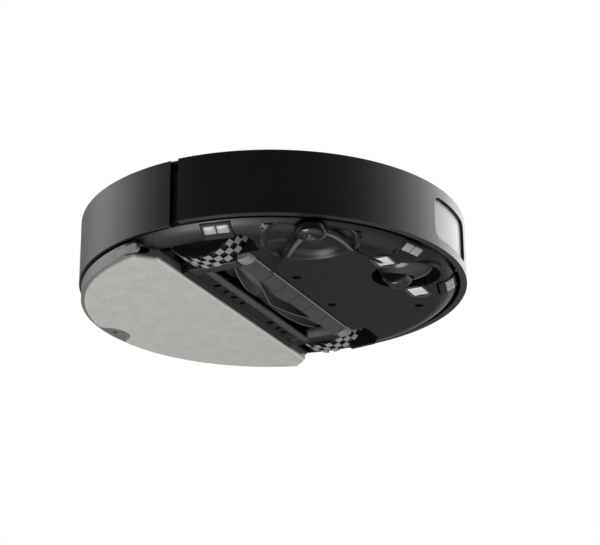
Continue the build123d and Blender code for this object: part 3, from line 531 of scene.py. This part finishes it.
# %% Lay the grid on the outline and crown it
PAD_COLUMNS, PAD_ROWS = 158, 68
PAD_TOP = pad_high.z
PAD_BACK = 0.6  # thickness of the backing behind the pile
ROLL = 2.6  # width of the rounded rim
DIMPLES, DIMPLE_DEPTH = 60, 0.055
deselect()
bpy.ops.mesh.primitive_grid_add(x_subdivisions=PAD_COLUMNS, y_subdivisions=PAD_ROWS, size=2)
pad = bpy.context.object
soft = random.Random(7)
dimples = [
    (soft.uniform(-150, 150), soft.uniform(30, 165), soft.uniform(8, 20)) for _ in range(DIMPLES)
]
for corner in pad.data.vertices:
    across = max(-1.0, min(1.0, corner.co.x))
    x = math.sin(across * math.pi / 2) * PAD_SIDE
    share = corner.co.y / 2 + 0.5
    front, rear = pad_front_edge(x), pad_rear_edge(x)
    y = front + (rear - front) * (0.5 - 0.5 * math.cos(math.pi * share))
    rim = min(pad_edge_distance(x, y) / ROLL, 1.0)
    sink = 0.0
    for cx, cy, wide in dimples:
        sink += DIMPLE_DEPTH * math.exp(-((x - cx) ** 2 + (y - cy) ** 2) / wide**2)
    z = (PAD_TOP - PAD_BACK) * (1 - math.sqrt(1 - (1 - rim) ** 2)) if rim < 1 else 0.0
    corner.co = Vector((x, y, max(z, 0.0) + sink * rim)) * MM
bpy.ops.object.mode_set(mode="EDIT")
bpy.ops.mesh.select_all(action="SELECT")
bpy.ops.mesh.region_to_loop()
bpy.ops.mesh.extrude_edges_move(TRANSFORM_OT_translate={"value": (0, 0, PAD_BACK * MM)})
bpy.ops.mesh.edge_face_add()
bpy.ops.object.mode_set(mode="OBJECT")
print("pad grid", len(pad.data.vertices), "points")

# %% [markdown]
# Suede-like microfibre is mottled: the pile lies one way here and another there. A broad
# noise mixes two greys, a finer one adds specks and the finest gives the pile. The
# hot-cut rim along the straight edge is fused to a paler line.

# %% Microfibre
FUSED_FROM, FUSED_TO = 2.2, 1.0  # the pale line's soft inner edge, from the straight edge


def microfibre(name):
    """Short pile with cloudy shading and a pale fused edge."""
    made = bpy.data.materials.new(name)
    made.use_nodes = True
    tree = made.node_tree
    shader = tree.nodes["Principled BSDF"]
    shader.inputs["Roughness"].default_value = 0.95
    shader.inputs["Sheen Weight"].default_value = 0.25
    shader.inputs["Sheen Roughness"].default_value = 0.5
    place = node(tree, "ShaderNodeTexCoord")
    broad = node(tree, "ShaderNodeTexNoise", Scale=70.0, Detail=8.0, Roughness=0.68)
    fine = node(tree, "ShaderNodeTexNoise", Scale=900.0, Detail=3.0)
    pile = node(tree, "ShaderNodeTexNoise", Scale=2600.0, Detail=2.0)
    for texture in (broad, fine, pile):
        tree.links.new(place.outputs["Object"], texture.inputs["Vector"])
    shades = node(tree, "ShaderNodeValToRGB")
    stops = shades.color_ramp.elements
    stops[0].position, stops[0].color = 0.3, (0.5, 0.505, 0.46, 1)
    stops[1].position, stops[1].color = 0.7, (0.61, 0.615, 0.575, 1)
    tree.links.new(broad.outputs["Fac"], shades.inputs[0])
    speck = node(tree, "ShaderNodeMix")
    speck.data_type = "RGBA"
    speck.blend_type = "OVERLAY"
    speck.inputs["Factor"].default_value = 0.5
    tree.links.new(shades.outputs["Color"], speck.inputs["A"])
    tree.links.new(fine.outputs["Color"], speck.inputs["B"])
    axes = node(tree, "ShaderNodeSeparateXYZ")
    tree.links.new(place.outputs["Object"], axes.inputs[0])
    fused = node(tree, "ShaderNodeMapRange")
    fused.inputs["From Min"].default_value = (PAD_FRONT + FUSED_FROM) * MM
    fused.inputs["From Max"].default_value = (PAD_FRONT + FUSED_TO) * MM
    tree.links.new(axes.outputs["Y"], fused.inputs["Value"])
    edge = node(tree, "ShaderNodeMix")
    edge.data_type = "RGBA"
    edge.inputs["B"].default_value = (0.85, 0.85, 0.83, 1)
    tree.links.new(fused.outputs["Result"], edge.inputs["Factor"])
    tree.links.new(speck.outputs["Result"], edge.inputs["A"])
    tree.links.new(edge.outputs["Result"], shader.inputs["Base Color"])
    bump = node(tree, "ShaderNodeBump", Strength=0.6, Distance=0.0004)
    tree.links.new(pile.outputs["Fac"], bump.inputs["Height"])
    tree.links.new(bump.outputs["Normal"], shader.inputs["Normal"])
    return made


finishes["pad_fabric"] = microfibre("pad_fabric")
settle(pad, "mop_cloth", "mop_plate", finishes["pad_fabric"], 60, ["mop_pad"])

# %% [markdown]
# ## The brush cover
# The cover is a clip-in frame round the main brush. Its front is an apron that curves
# down from the tray to the mouth, ribbed along its length and slit into panels so that
# it can flex. Each panel is the same profile pulled along X, so a loop makes them all.

# %% Apron panels
APRON_FRONT, APRON_REAR = box_mm("brush_cover")[0].y, -18.6
APRON_TOP, APRON_LOW = 8.4, 2.4
APRON_CURVE = 1.7
RIBS, RIB_DEPTH = 12, 0.22
SLITS = (-57.0, -30.0, -4.0, 24.0, 55.0)
SLIT_GAP = 0.95
COVER_HALF = 98.0


def apron_point(share, lift=0.0, x=0.0):
    """A point on the apron's curve, from its front edge (0) to the mouth (1)."""
    y = APRON_FRONT + (APRON_REAR - APRON_FRONT) * share
    z = APRON_LOW + (APRON_TOP - APRON_LOW) * (1 - share) ** APRON_CURVE + lift
    return (x, y, z)


profile = []
for rib in range(RIBS):
    profile.append(apron_point(rib / RIBS))
    profile.append(apron_point((rib + 0.55) / RIBS))
    profile.append(apron_point((rib + 0.7) / RIBS, RIB_DEPTH))
    profile.append(apron_point((rib + 0.9) / RIBS, RIB_DEPTH))
profile += [apron_point(1.0), apron_point(1.0, 3.0), apron_point(0.0, 2.6)]

panels = []
edges = (-COVER_HALF,) + SLITS + (COVER_HALF,)
for left, right in zip(edges, edges[1:]):
    start = left + SLIT_GAP / 2
    panels.append(along_x([(start, y, z) for _, y, z in profile], right - left - SLIT_GAP))
apron = join(panels)
settle(apron, "cover_apron", "brush_cover", finishes["frame_grey"], 30, ["brush_cover"])

# %% [markdown]
# Behind the slits lies a dark strip, painted shade for the dark behind them, so they read as cuts.
# The rear bar and the two end blocks close the frame; the end blocks rise to the tray at the front,
# where a fingertip presses the latch.

# %% Strip of painted shade behind the slits, and rear bar
SHADE_STRIP_LIFT = 1.2  # depth of the strip behind the apron's face
SHADE_STRIP_SHARES = (0.02, 0.2, 0.4, 0.7, 0.98)
# A sheet of painted shade: black, behind the apron's slits, where there is only shade.
slit_shade_strip = along_x(
    [apron_point(share, SHADE_STRIP_LIFT, -COVER_HALF) for share in SHADE_STRIP_SHARES]
    + [apron_point(share, 2 * SHADE_STRIP_LIFT, -COVER_HALF) for share in (0.98, 0.02)],
    2 * COVER_HALF,
)
settle(slit_shade_strip, "cover_slit_shade_strip", "brush_cover", finishes["sensor_black"])

BAR_FRONT, BAR_REAR, BAR_LOW = 7.5, 14.6, 1.9
bar = along_x([
    (-COVER_HALF, BAR_FRONT, BAR_LOW + 2.6), (-COVER_HALF, BAR_FRONT, BAR_LOW + 0.8),
    (-COVER_HALF, BAR_FRONT + 1.4, BAR_LOW), (-COVER_HALF, BAR_REAR - 0.8, BAR_LOW),
    (-COVER_HALF, BAR_REAR, BAR_LOW + 0.8), (-COVER_HALF, BAR_REAR, BAR_LOW + 4.6),
], 2 * COVER_HALF)
settle(bar, "cover_rear_bar", "brush_cover", finishes["frame_grey"])

# %% Bead along the apron's front edge
BEAD = ((0.02, -0.5), (0.02, 0.6), (0.1, 0.6), (0.1, 0.1))  # share along the apron, lift
bead = along_x([apron_point(share, lift, -COVER_HALF) for share, lift in BEAD], 2 * COVER_HALF)
settle(bead, "cover_bead", "brush_cover", finishes["button_grey"])

# %% End blocks with their latch ends
BLOCK_INNER, BLOCK_OUTER = 88.5, 107.0
BLOCK_LOW, BLOCK_TOP = 3.0, 8.6
BLOCK_FRONT, BLOCK_REAR = -33.0, 26.0
BLOCK_PANEL, BLOCK_PROUD = 0.9, 0.5  # rim and height of the raised low face
BLOCK_LEAN = 5.0  # how far the inner face slopes back
LATCH_DEPTH, LATCH_WIDE, LATCH_GAP = 12.5, 12.5, 0.4
for side, sign in (("left", 1), ("right", -1)):
    outer, inner = sign * BLOCK_OUTER, sign * BLOCK_INNER
    latch_rear = BLOCK_FRONT + LATCH_DEPTH
    block = start_face([
        (outer, latch_rear + LATCH_GAP, BLOCK_LOW), (outer, BLOCK_REAR, BLOCK_LOW),
        (outer, BLOCK_REAR, BLOCK_TOP + 2), (outer, latch_rear + LATCH_GAP, BLOCK_TOP + 2),
    ])
    pull(x=inner - outer)
    pick(block, lambda middle, normal: middle.z < BLOCK_LOW + 0.1)
    bpy.ops.mesh.inset(thickness=BLOCK_PANEL * MM)
    bpy.ops.transform.translate(value=(0, 0, -BLOCK_PROUD * MM))
    bpy.ops.object.mode_set(mode="OBJECT")
    for corner in block.data.vertices:
        if abs(corner.co.x / MM - inner) < 1.5 and corner.co.z / MM < BLOCK_LOW + 0.1:
            corner.co.x += sign * BLOCK_LEAN * MM
    modify(block, "BEVEL", width=0.5 * MM, segments=2, limit_method="ANGLE")
    look = finishes["hub_plastic"] if side == "right" else finishes["rail_black"]
    settle(block, f"cover_end_{side}", "brush_cover", look)
    latch = along_x([
        (outer, latch_rear, BLOCK_LOW + 0.2), (outer, latch_rear, BLOCK_TOP + 2),
        (outer, BLOCK_FRONT, BLOCK_TOP + 2), (outer, BLOCK_FRONT, BLOCK_TOP - 0.6),
        (outer, BLOCK_FRONT + 2.0, BLOCK_TOP - 3.4),
        (outer, BLOCK_FRONT + 5.5, BLOCK_LOW + 0.8),
    ], -sign * LATCH_WIDE)
    modify(latch, "BEVEL", width=1.3 * MM, segments=4, limit_method="ANGLE")
    settle(latch, f"latch_end_{side}", f"cover_latch_{side}", finishes["button_grey"],
           50, [f"cover_latch_{side}"])

# %% [markdown]
# ## The strip between the brush and the pad
# A shallow rail fills the space between the cover and the pad. Small round and oblong
# sockets are cut into it, all with one joined cutter.

# %% Rail with sunk sockets
RAIL_FRONT, RAIL_REAR = 15.2, 32.0
RAIL_HALF = 106.0
RAIL_LOW, RAIL_TOP = 4.2, 9.0
ROUND_RADIUS, SQUARE_RADIUS, SQUARE_SQUASH = 3.3, 4.3, 0.75
SOCKET_Y, SOCKET_DEPTH = RAIL_FRONT + 6.2, 6.0
SOCKETS = (-61.0, -45.0, -30.0, -14.0, 43.0, 59.0, 72.0, 95.0)
rail = along_x([
    (-RAIL_HALF, RAIL_FRONT, RAIL_LOW + 1.2), (-RAIL_HALF, RAIL_FRONT + 1.2, RAIL_LOW),
    (-RAIL_HALF, RAIL_REAR - 5.4, RAIL_LOW), (-RAIL_HALF, RAIL_REAR - 4.2, RAIL_LOW - 2.4),
    (-RAIL_HALF, RAIL_REAR, RAIL_LOW - 2.6), (-RAIL_HALF, RAIL_REAR, RAIL_TOP),
    (-RAIL_HALF, RAIL_FRONT, RAIL_TOP),
], 2 * RAIL_HALF)
holes = []
for index, x in enumerate(SOCKETS):
    deselect()
    round_one = index % 2 == 0
    bpy.ops.mesh.primitive_cylinder_add(
        vertices=20 if round_one else 4,
        radius=(ROUND_RADIUS if round_one else SQUARE_RADIUS) * MM,
        depth=SOCKET_DEPTH * MM,
        location=(x * MM, SOCKET_Y * MM, (RAIL_LOW + 1.0) * MM),
        rotation=(0, 0, 0 if round_one else math.radians(45)),
    )
    cutter = bpy.context.object
    if not round_one:
        cutter.scale.y = SQUARE_SQUASH
    holes.append(cutter)
cutters = join(holes)
modify(rail, "BOOLEAN", operation="DIFFERENCE", object=cutters, solver="EXACT")
deselect()
cutters.select_set(True)
bpy.ops.object.delete()
settle(rail, "sensor_rail", "chassis", finishes["rail_black"], 30)

# %% [markdown]
# ## The main brush
# Soft rubber fins wind from both ends to the middle, so that hair is swept to the duct.
# Each fin is a leaf: highest near the middle, tapering at the ends. A grid is laid on the
# helix it follows and gets its thickness from Solidify, once for each fin.

# %% Fins
fins_low, fins_high = box_mm("brush_fins")
BRUSH_HALF = fins_high.x
BRUSH_RADIUS = (fins_high.y - fins_low.y) / 2
BRUSH_Y = (fins_high.y + fins_low.y) / 2
BRUSH_Z = (fins_high.z + fins_low.z) / 2
CORE_RADIUS = 12.3
FIN_COUNT = 8
FIN_TWIST = 64.0
FIN_PHASE = -112.0
FIN_THICK = 1.2
FIN_LEAN = 9.0  # how far the tip leans behind the root, in degrees
FIN_ROOT = 0.8  # how deep the root sits in the core
FIN_END = 0.12  # height at the ends, as a share of the full height


def fin_point(across, share, phase):
    """Place on a fin: across runs from end to end, share from the core to the tip."""
    x = across * (BRUSH_HALF - 1.0)
    leaf = math.sqrt(max(1.0 - abs(across) ** 3.0, 0.0))
    reach = (BRUSH_RADIUS - 0.8 - CORE_RADIUS) * (FIN_END + (1 - FIN_END) * leaf)
    radius = CORE_RADIUS - FIN_ROOT + (reach + FIN_ROOT) * share
    angle = math.radians(phase - FIN_TWIST * abs(across) - FIN_LEAN * share)
    return Vector((x, BRUSH_Y + radius * math.cos(angle), BRUSH_Z + radius * math.sin(angle)))


fins = []
for index in range(FIN_COUNT):
    deselect()
    bpy.ops.mesh.primitive_grid_add(x_subdivisions=48, y_subdivisions=6, size=2)
    fin = bpy.context.object
    phase = FIN_PHASE + 360.0 * index / FIN_COUNT
    for corner in fin.data.vertices:
        corner.co = fin_point(corner.co.x, corner.co.y / 2 + 0.5, phase) * MM
    modify(fin, "SOLIDIFY", thickness=FIN_THICK * MM, offset=0)
    modify(fin, "BEVEL", width=0.4 * MM, segments=2, limit_method="ANGLE")
    fins.append(fin)
deselect()
bpy.ops.mesh.primitive_cylinder_add(
    vertices=64, radius=CORE_RADIUS * MM, depth=(2 * BRUSH_HALF - 0.4) * MM,
    location=(0, BRUSH_Y * MM, BRUSH_Z * MM), rotation=(0, math.pi / 2, 0),
)
sleeve = bpy.context.object
bpy.ops.object.transform_apply(location=True, rotation=True, scale=True)
brush = join([sleeve] + fins)
settle(brush, "brush_leaves", "main_brush", finishes["brush_rubber"], 40, ["brush_fins"])

# %% [markdown]
# ## The side brush and its dish
# The tray is dished round the side brush. The dish is a soft, organic hollow: a rolled
# lip round it, a shallow shelf on the wheel's side with a finger groove in it, and a deep
# oval bowl under the sweeping arms. Such a surface is easiest as a height over the plan.

# %% Height of the dish
hub_low, hub_high = box_mm("side_brush_screw")
HUB_X, HUB_Y = (hub_low.x + hub_high.x) / 2, (hub_low.y + hub_high.y) / 2
TRAY_LOW = box_mm("chassis_base")[0].z
RIM_RADIUS = 165.0
RIM_FLAT = RIM_RADIUS - 17.0
RIM_CURVE = 21.89
DISH_X, DISH_Y, DISH_RADIUS = -110.0, -88.0, 44.5
BOWL_X, BOWL_Y, BOWL_LONG, BOWL_WIDE, BOWL_TURN = -88.0, -84.0, 25.0, 17.0, 103.0
PIT_X, PIT_Y, PIT_MOUTH, PIT_SLOPE = -111.0, -89.0, 40.67, 6.67 / 5.0
PIT_DEPTH = 5.0
SKIN_GAP = 0.12  # how far the dish's skin stands off the tray
LIP_HIGH, LIP_INSET, LIP_WIDE = 1.7, 4.2, 2.5
SHELF_DEPTH, BOWL_DEPTH, KNOB_HIGH = 2.5, 2.5, 1.0
GROOVE_X, GROOVE_Y, GROOVE_RADIUS, GROOVE_WIDE, GROOVE_DEPTH = -106.0, -60.0, 11.0, 2.4, 1.2


def ease(value):
    """Smooth step from 0 to 1."""
    value = max(0.0, min(1.0, value))
    return value * value * (3 - 2 * value)


def tray_surface(x, y):
    """Height of the tray's underside, with its curved rim."""
    over = max(math.hypot(x, y) - RIM_FLAT, 0.0)
    return TRAY_LOW + RIM_CURVE - math.sqrt(max(RIM_CURVE**2 - over**2, 0.0))


def pit_room(x, y):
    """How high the hollow in the tray reaches here."""
    out = math.hypot(x - PIT_X, y - PIT_Y)
    depth = max(0.0, min(PIT_DEPTH, (PIT_MOUTH - out) / PIT_SLOPE))
    return max(TRAY_LOW + depth, tray_surface(x, y))


def dish_height(x, y):
    """Height of the dish's visible face."""
    out = math.hypot(x - DISH_X, y - DISH_Y)
    skin = tray_surface(x, y)
    lip = LIP_HIGH * math.exp(-((out - DISH_RADIUS + LIP_INSET) / LIP_WIDE) ** 2)
    shelf = SHELF_DEPTH * ease((DISH_RADIUS - 5.0 - out) / 5.0)
    a = math.radians(BOWL_TURN)
    dx, dy = x - BOWL_X, y - BOWL_Y
    along = (dx * math.cos(a) + dy * math.sin(a)) / BOWL_LONG
    aside = (-dx * math.sin(a) + dy * math.cos(a)) / BOWL_WIDE
    oval = math.hypot(along, aside)
    bowl = BOWL_DEPTH * ease((1.1 - oval) / 0.55)
    knob = KNOB_HIGH * math.exp(-(oval / 0.35) ** 2)
    groove_at = math.hypot(x - GROOVE_X, (y - GROOVE_Y) * 0.8)
    groove = GROOVE_DEPTH * math.exp(-((groove_at - GROOVE_RADIUS) / GROOVE_WIDE) ** 2)
    groove *= ease((y + 84.0) / 18.0)
    z = skin - SKIN_GAP - lip + shelf + bowl - knob + groove
    return min(z, pit_room(x, y) - SKIN_GAP)


print("deepest point of the bowl", round(dish_height(BOWL_X, BOWL_Y), 1), "mm up")

# %% Dish skin
RINGS, SPOKES = 44, 128
TRIM_RADIUS = 162.0
deselect()
bpy.ops.mesh.primitive_circle_add(vertices=SPOKES, radius=DISH_RADIUS * MM, fill_type="NGON")
dish = bpy.context.object
bpy.ops.object.mode_set(mode="EDIT")
bpy.ops.mesh.select_all(action="SELECT")
for _ in range(RINGS - 1):
    bpy.ops.mesh.inset(thickness=DISH_RADIUS / RINGS * MM)
bpy.ops.object.mode_set(mode="OBJECT")
for corner in dish.data.vertices:
    x, y = corner.co.x / MM + DISH_X, corner.co.y / MM + DISH_Y
    off_centre = math.hypot(x, y)
    if off_centre > TRIM_RADIUS:
        x, y = x * TRIM_RADIUS / off_centre, y * TRIM_RADIUS / off_centre
    corner.co = Vector((x, y, dish_height(x, y))) * MM
modify(dish, "SOLIDIFY", thickness=0.1 * MM, offset=-1)
settle(dish, "side_brush_dish", "chassis", finishes["base_black"], 80)

# %% [markdown]
# The side brush itself is a glossy dome with two curved paddles. Each paddle is a thin
# rubber blade with a darker rib along its leading edge and a tuft of nylon at its end.
# The paddle is a strip whose middle line bends away from the way it turns.

# %% Dome
# Radius and height of each ring, from the tray down to the screw's recess.
dome_profile = (
    (14.3, 11.9), (14.3, 8.2), (13.4, 6.0), (11.2, 4.4),
    (8.2, 3.9), (5.6, 4.3), (4.6, 5.6), (0.0, 5.6),
)
deselect()
bpy.ops.mesh.primitive_circle_add(vertices=12, radius=dome_profile[0][0] * MM,
                                  location=(HUB_X * MM, HUB_Y * MM, dome_profile[0][1] * MM))
dome = bpy.context.object
bpy.ops.object.mode_set(mode="EDIT")
bpy.ops.mesh.select_all(action="SELECT")
for (radius, z), (wider, above) in zip(dome_profile[1:], dome_profile):
    bpy.ops.mesh.extrude_edges_move(TRANSFORM_OT_translate={"value": (0, 0, (z - above) * MM)})
    share = max(radius, 0.01) / wider
    bpy.ops.transform.resize(value=(share, share, 1))
bpy.ops.object.mode_set(mode="OBJECT")
modify(dome, "SUBSURF", levels=1, render_levels=1)
settle(dome, "side_brush_dome", "side_brush", finishes["dome_black"], 25)

# %% Paddles
PADDLE_ANGLES = {50.0: 13.0, -24.0: -38.0}  # angle at the tip: how much more at the root
PADDLE_START, PADDLE_END = 9.0, 46.0
ARM_HIGH = 10.2
ARM_DROP = 7.8 / 84.0


def arm_place(reach, aside, angle, lift=0.0):
    """A point of an arm: reach from the axis, aside from its curved middle line."""
    share = (reach - PADDLE_START) / (PADDLE_END - PADDLE_START)
    bend = PADDLE_ANGLES[angle] * (1 - min(share, 1.0)) ** 1.5
    turned = math.radians(angle + bend)
    out = Vector((math.cos(turned), math.sin(turned), 0))
    side = Vector((-math.sin(turned), math.cos(turned), 0))
    spot = Vector((HUB_X, HUB_Y, ARM_HIGH - ARM_DROP * reach + lift))
    return spot + out * reach + side * aside


STRIP_STEPS = 14


def strip(angle, inner, outer, low, high):
    """A bent strip from the dome outwards; inner and outer are (start, end) offsets."""
    rows = []
    for step in range(STRIP_STEPS + 1):
        share = step / STRIP_STEPS
        reach = PADDLE_START + (PADDLE_END - PADDLE_START) * share
        near = inner[0] + (inner[1] - inner[0]) * share
        away = outer[0] + (outer[1] - outer[0]) * share
        rows.append((arm_place(reach, near, angle, low), arm_place(reach, away, angle, low)))
    line = [p for p, _ in rows] + [q for _, q in reversed(rows)]
    made = start_face([tuple(p) for p in line])
    pull(z=high - low)
    bpy.ops.object.mode_set(mode="OBJECT")
    modify(made, "BEVEL", width=0.35 * MM, segments=2, limit_method="ANGLE")
    return made


blades = [strip(angle, (-3.4, -1.6), (2.6, 1.8), -1.9, -0.6) for angle in PADDLE_ANGLES]
ribs = [strip(angle, (2.3, 1.0), (4.2, 2.6), -3.0, -0.4) for angle in PADDLE_ANGLES]
settle(join(blades), "side_brush_paddles", "side_brush", finishes["paddle_grey"],
       35, ["side_brush_hub"])
settle(join(ribs), "side_brush_ribs", "side_brush", finishes["bristle_black"])

# %% Bristles
STRANDS = 46
BRISTLE_REACH = 80.0
HAIR_THICK, HAIR_THIN = 0.32, 0.12
BRISTLE_START = PADDLE_END - 3  # the tufts begin inside the paddles
loose = random.Random(19)
strands = []
for angle in PADDLE_ANGLES:
    for _ in range(STRANDS):
        root = loose.uniform(-2.2, 2.2)
        spread = root * 0.55 + loose.gauss(0.0, 0.9)
        tip = BRISTLE_REACH - abs(loose.gauss(0.0, 2.5))
        deselect()
        bpy.ops.mesh.primitive_cone_add(
            vertices=5, radius1=HAIR_THICK * MM, radius2=HAIR_THIN * MM, depth=1
        )
        hair = bpy.context.object
        lift = loose.uniform(-1.4, -0.4)
        for corner in hair.data.vertices:
            share = corner.co.z + 0.5
            reach = BRISTLE_START + (tip - BRISTLE_START) * share
            middle = arm_place(reach, root + (spread - root) * share, angle, lift)
            corner.co = middle * MM + Vector((corner.co.x, corner.co.y, 0))
            corner.co.z += loose.uniform(-0.1, 0.1) * MM
        strands.append(hair)
settle(join(strands), "side_brush_nylon", "side_brush", finishes["bristle_black"],
       60, ["side_brush_bristles"])

# %% [markdown]
# ## The caster
# The caster wheel sits under a smooth hood that turns with it. The hood is half of a
# stretched ball with a slot for the wheel, hollow like the real moulding.

# %% Hood
caster_low, caster_high = box_mm("caster_wheel")
WHEEL_Y = (caster_low.y + caster_high.y) / 2
WHEEL_HALF = caster_high.x
HOOD_Y, HOOD_Z = -131.0, 19.5
HOOD_SIZE = (20.5, 26.5, 13.3)
HOOD_WALL = 1.6
SLOT_ROOM, SLOT_REACH, SLOT_SHIFT = 2.2, 14.6, -0.4
deselect()
bpy.ops.mesh.primitive_uv_sphere_add(segments=64, ring_count=32, radius=MM)
hood = bpy.context.object
hood.scale = HOOD_SIZE
hood.location = (0, HOOD_Y * MM, HOOD_Z * MM)
bpy.ops.object.transform_apply(location=True, rotation=True, scale=True)
bpy.ops.object.mode_set(mode="EDIT")
bpy.ops.mesh.select_all(action="SELECT")
bpy.ops.mesh.bisect(plane_co=(0, 0, HOOD_Z * MM), plane_no=(0, 0, 1), clear_outer=True)
bpy.ops.object.mode_set(mode="OBJECT")
modify(hood, "SOLIDIFY", thickness=HOOD_WALL * MM, offset=-1)
deselect()
bpy.ops.mesh.primitive_cylinder_add(
    vertices=64, radius=MM, depth=30 * MM, location=(0, (WHEEL_Y + SLOT_SHIFT) * MM, 5 * MM)
)
slot_cutter = bpy.context.object
slot_cutter.scale = (WHEEL_HALF + SLOT_ROOM, SLOT_REACH, 1)
bpy.ops.object.transform_apply(location=True, rotation=True, scale=True)
modify(hood, "BOOLEAN", operation="DIFFERENCE", object=slot_cutter, solver="EXACT")
deselect()
slot_cutter.select_set(True)
bpy.ops.object.delete()
modify(hood, "BEVEL", width=0.4 * MM, segments=2, limit_method="ANGLE", angle_limit=math.radians(50))
settle(hood, "caster_hood", "caster", finishes["caster_plastic"], 40, ["caster_fork"])

# %% [markdown]
# ## Contacts and drop sensors
# Each charging contact lies in a raised bezel with bevelled sides. Each drop sensor looks
# down through two lenses, sender and receiver, side by side in a black surround.

# %% Bezels of the contacts
CONTACT_X, CONTACT_Y = 39.4, -125.5
BEZEL = (
    (-13.5, -4.0), (-9.5, -9.6), (9.5, -9.6), (13.5, -4.0),
    (13.5, 4.0), (9.5, 9.6), (-9.5, 9.6), (-13.5, 4.0),
)
BEZEL_PROUD, BEZEL_FLAT, BEZEL_SLOPE, BEZEL_SINK = 0.9, 0.9, 1.3, 0.45
PLATE_SIZE = (16.6, 13.6, 1.2)
for side, sign in (("left", 1), ("right", -1)):
    middle_x, middle_y = sign * CONTACT_X, CONTACT_Y
    bezel = start_face([(middle_x + x, middle_y + y, TRAY_LOW + 0.05) for x, y in BEZEL])
    pull(z=-BEZEL_PROUD)
    pick(bezel, lambda middle, normal: middle.z < TRAY_LOW - 0.8)
    bpy.ops.mesh.inset(thickness=BEZEL_FLAT * MM)
    bpy.ops.mesh.inset(thickness=BEZEL_SLOPE * MM)
    bpy.ops.transform.translate(value=(0, 0, BEZEL_SINK * MM))
    bpy.ops.mesh.delete(type="FACE")
    bpy.ops.object.mode_set(mode="OBJECT")
    modify(bezel, "BEVEL", width=0.2 * MM, segments=2, limit_method="ANGLE")
    deselect()
    bpy.ops.mesh.primitive_cube_add(size=1, location=Vector((middle_x, middle_y, TRAY_LOW)) * MM)
    plate = bpy.context.object
    plate.scale = Vector(PLATE_SIZE) * MM
    bpy.ops.object.transform_apply(location=True, rotation=True, scale=True)
    modify(plate, "BEVEL", width=0.5 * MM, segments=3, limit_method="ANGLE")
    settle(bezel, f"contact_bezel_{side}", "chassis", finishes["frame_grey"], 30)
    settle(plate, f"contact_plate_{side}", "chassis", finishes["contact_metal"], 40)

# %% Drop sensors on the curved rim
SENSORS = (
    ("front_left", -90 + 16.3, 160.0, 13.2), ("front_right", -90 - 16.3, 160.0, 13.2),
    ("rear_left", -9.9, 158.6, 12.6), ("rear_right", 180 + 9.9, 158.6, 12.6),
)
RIM_TILT = -33.0


def sensor_block(size, radius, aside, height, angle, corner):
    """A rounded block set into the rim, leaning with its curve."""
    deselect()
    bpy.ops.mesh.primitive_cube_add(size=1, location=(0, 0, 0))
    block = bpy.context.object
    block.scale = Vector(size) * MM
    bpy.ops.object.transform_apply(location=True, rotation=True, scale=True)
    modify(block, "BEVEL", width=corner * MM, segments=4, limit_method="ANGLE")
    spin = Matrix.Rotation(math.radians(angle), 4, "Z")
    lean = Matrix.Rotation(math.radians(RIM_TILT), 4, "Y")
    out = Matrix.Translation(Vector((radius, 0, height)) * MM)
    block.data.transform(spin @ out @ lean @ Matrix.Translation((0, aside * MM, 0)))
    return block


for name, angle, radius, height in SENSORS:
    surround = sensor_block((17.0, 27.0, 3.0), radius - 2.0, 0.0, height - 0.6, angle, 1.4)
    settle(surround, f"sensor_surround_{name}", "chassis",
           finishes["well_black"], 50, [f"cliff_sensor_{name}"])
    lenses = [sensor_block((8.6, 10.6, 3.0), radius, aside, height - 0.2, angle, 1.3)
              for aside in (-5.6, 5.6)]
    settle(join(lenses), f"sensor_lenses_{name}", "chassis", finishes["lens_grey"], 50)

# %% [markdown]
# ## The front window
# The window is a pale panel set a little behind the wall, so the edge of the opening
# shows round it.

# %% Sunk panel
window_low, window_high = box_mm("front_window")
WINDOW_SINK = 1.6
WINDOW_RADIUS = -window_low.y - WINDOW_SINK
window_middle = (window_low.z + window_high.z) / 2
window_half = (window_high.z - window_low.z) / 2
deselect()
bpy.ops.mesh.primitive_grid_add(x_subdivisions=32, y_subdivisions=12, size=2)
panel = bpy.context.object
for corner in panel.data.vertices:
    x = corner.co.x * (window_high.x - 0.3)
    z = window_middle + corner.co.y * (window_half - 0.3)
    corner.co = Vector((x, -math.sqrt(WINDOW_RADIUS**2 - x * x), z)) * MM
modify(panel, "SOLIDIFY", thickness=0.8 * MM, offset=-1)
settle(panel, "window_panel", "bumper", finishes["window_grey"], 40, ["front_window"])

# %% [markdown]
# ## Wheel shields
# On the outside of each drive wheel the gearbox hides behind a smooth round shield,
# which swings with the suspension arm.

# %% Shields
SHIELD_RADIUS, SHIELD_THICK, SHIELD_SINK = 34.3, 3.0, 8.0
for side, sign in (("left", 1), ("right", -1)):
    arm_box = box_mm(f"drive_arm_{side}")
    inner_x = min(abs(arm_box[0].x), abs(arm_box[1].x)) + SHIELD_SINK
    deselect()
    bpy.ops.mesh.primitive_cylinder_add(
        vertices=96, radius=SHIELD_RADIUS * MM, depth=SHIELD_THICK * MM,
        location=(sign * (inner_x + 1.6) * MM, axle[0], axle[1]), rotation=(0, math.pi / 2, 0),
    )
    shield = bpy.context.object
    bpy.ops.object.transform_apply(location=True, rotation=True, scale=True)
    modify(shield, "BEVEL", width=1.2 * MM, segments=4, limit_method="ANGLE")
    settle(shield, f"wheel_shield_{side}", f"drive_arm_{side}", finishes["rail_black"])

# %% [markdown]
# ## The floor
# A pale floor lies far below, because the robot is shown held up in the air. It is no
# wider than it has to be, so that the dim room still reaches the underside.

# %% Floor
FLOOR_DROP, FLOOR_SIZE = 3.0, 3.0
deselect()
bpy.ops.mesh.primitive_plane_add(size=FLOOR_SIZE, location=(0, 0, -FLOOR_DROP))
ground = bpy.context.object
ground.name = "studio_floor"
pale = plastic("studio_floor", (0.8, 0.8, 0.8), 0.9, clouds=0.01)
ground.data.materials.append(pale)

# %% Finish: leave nothing selected
deselect()
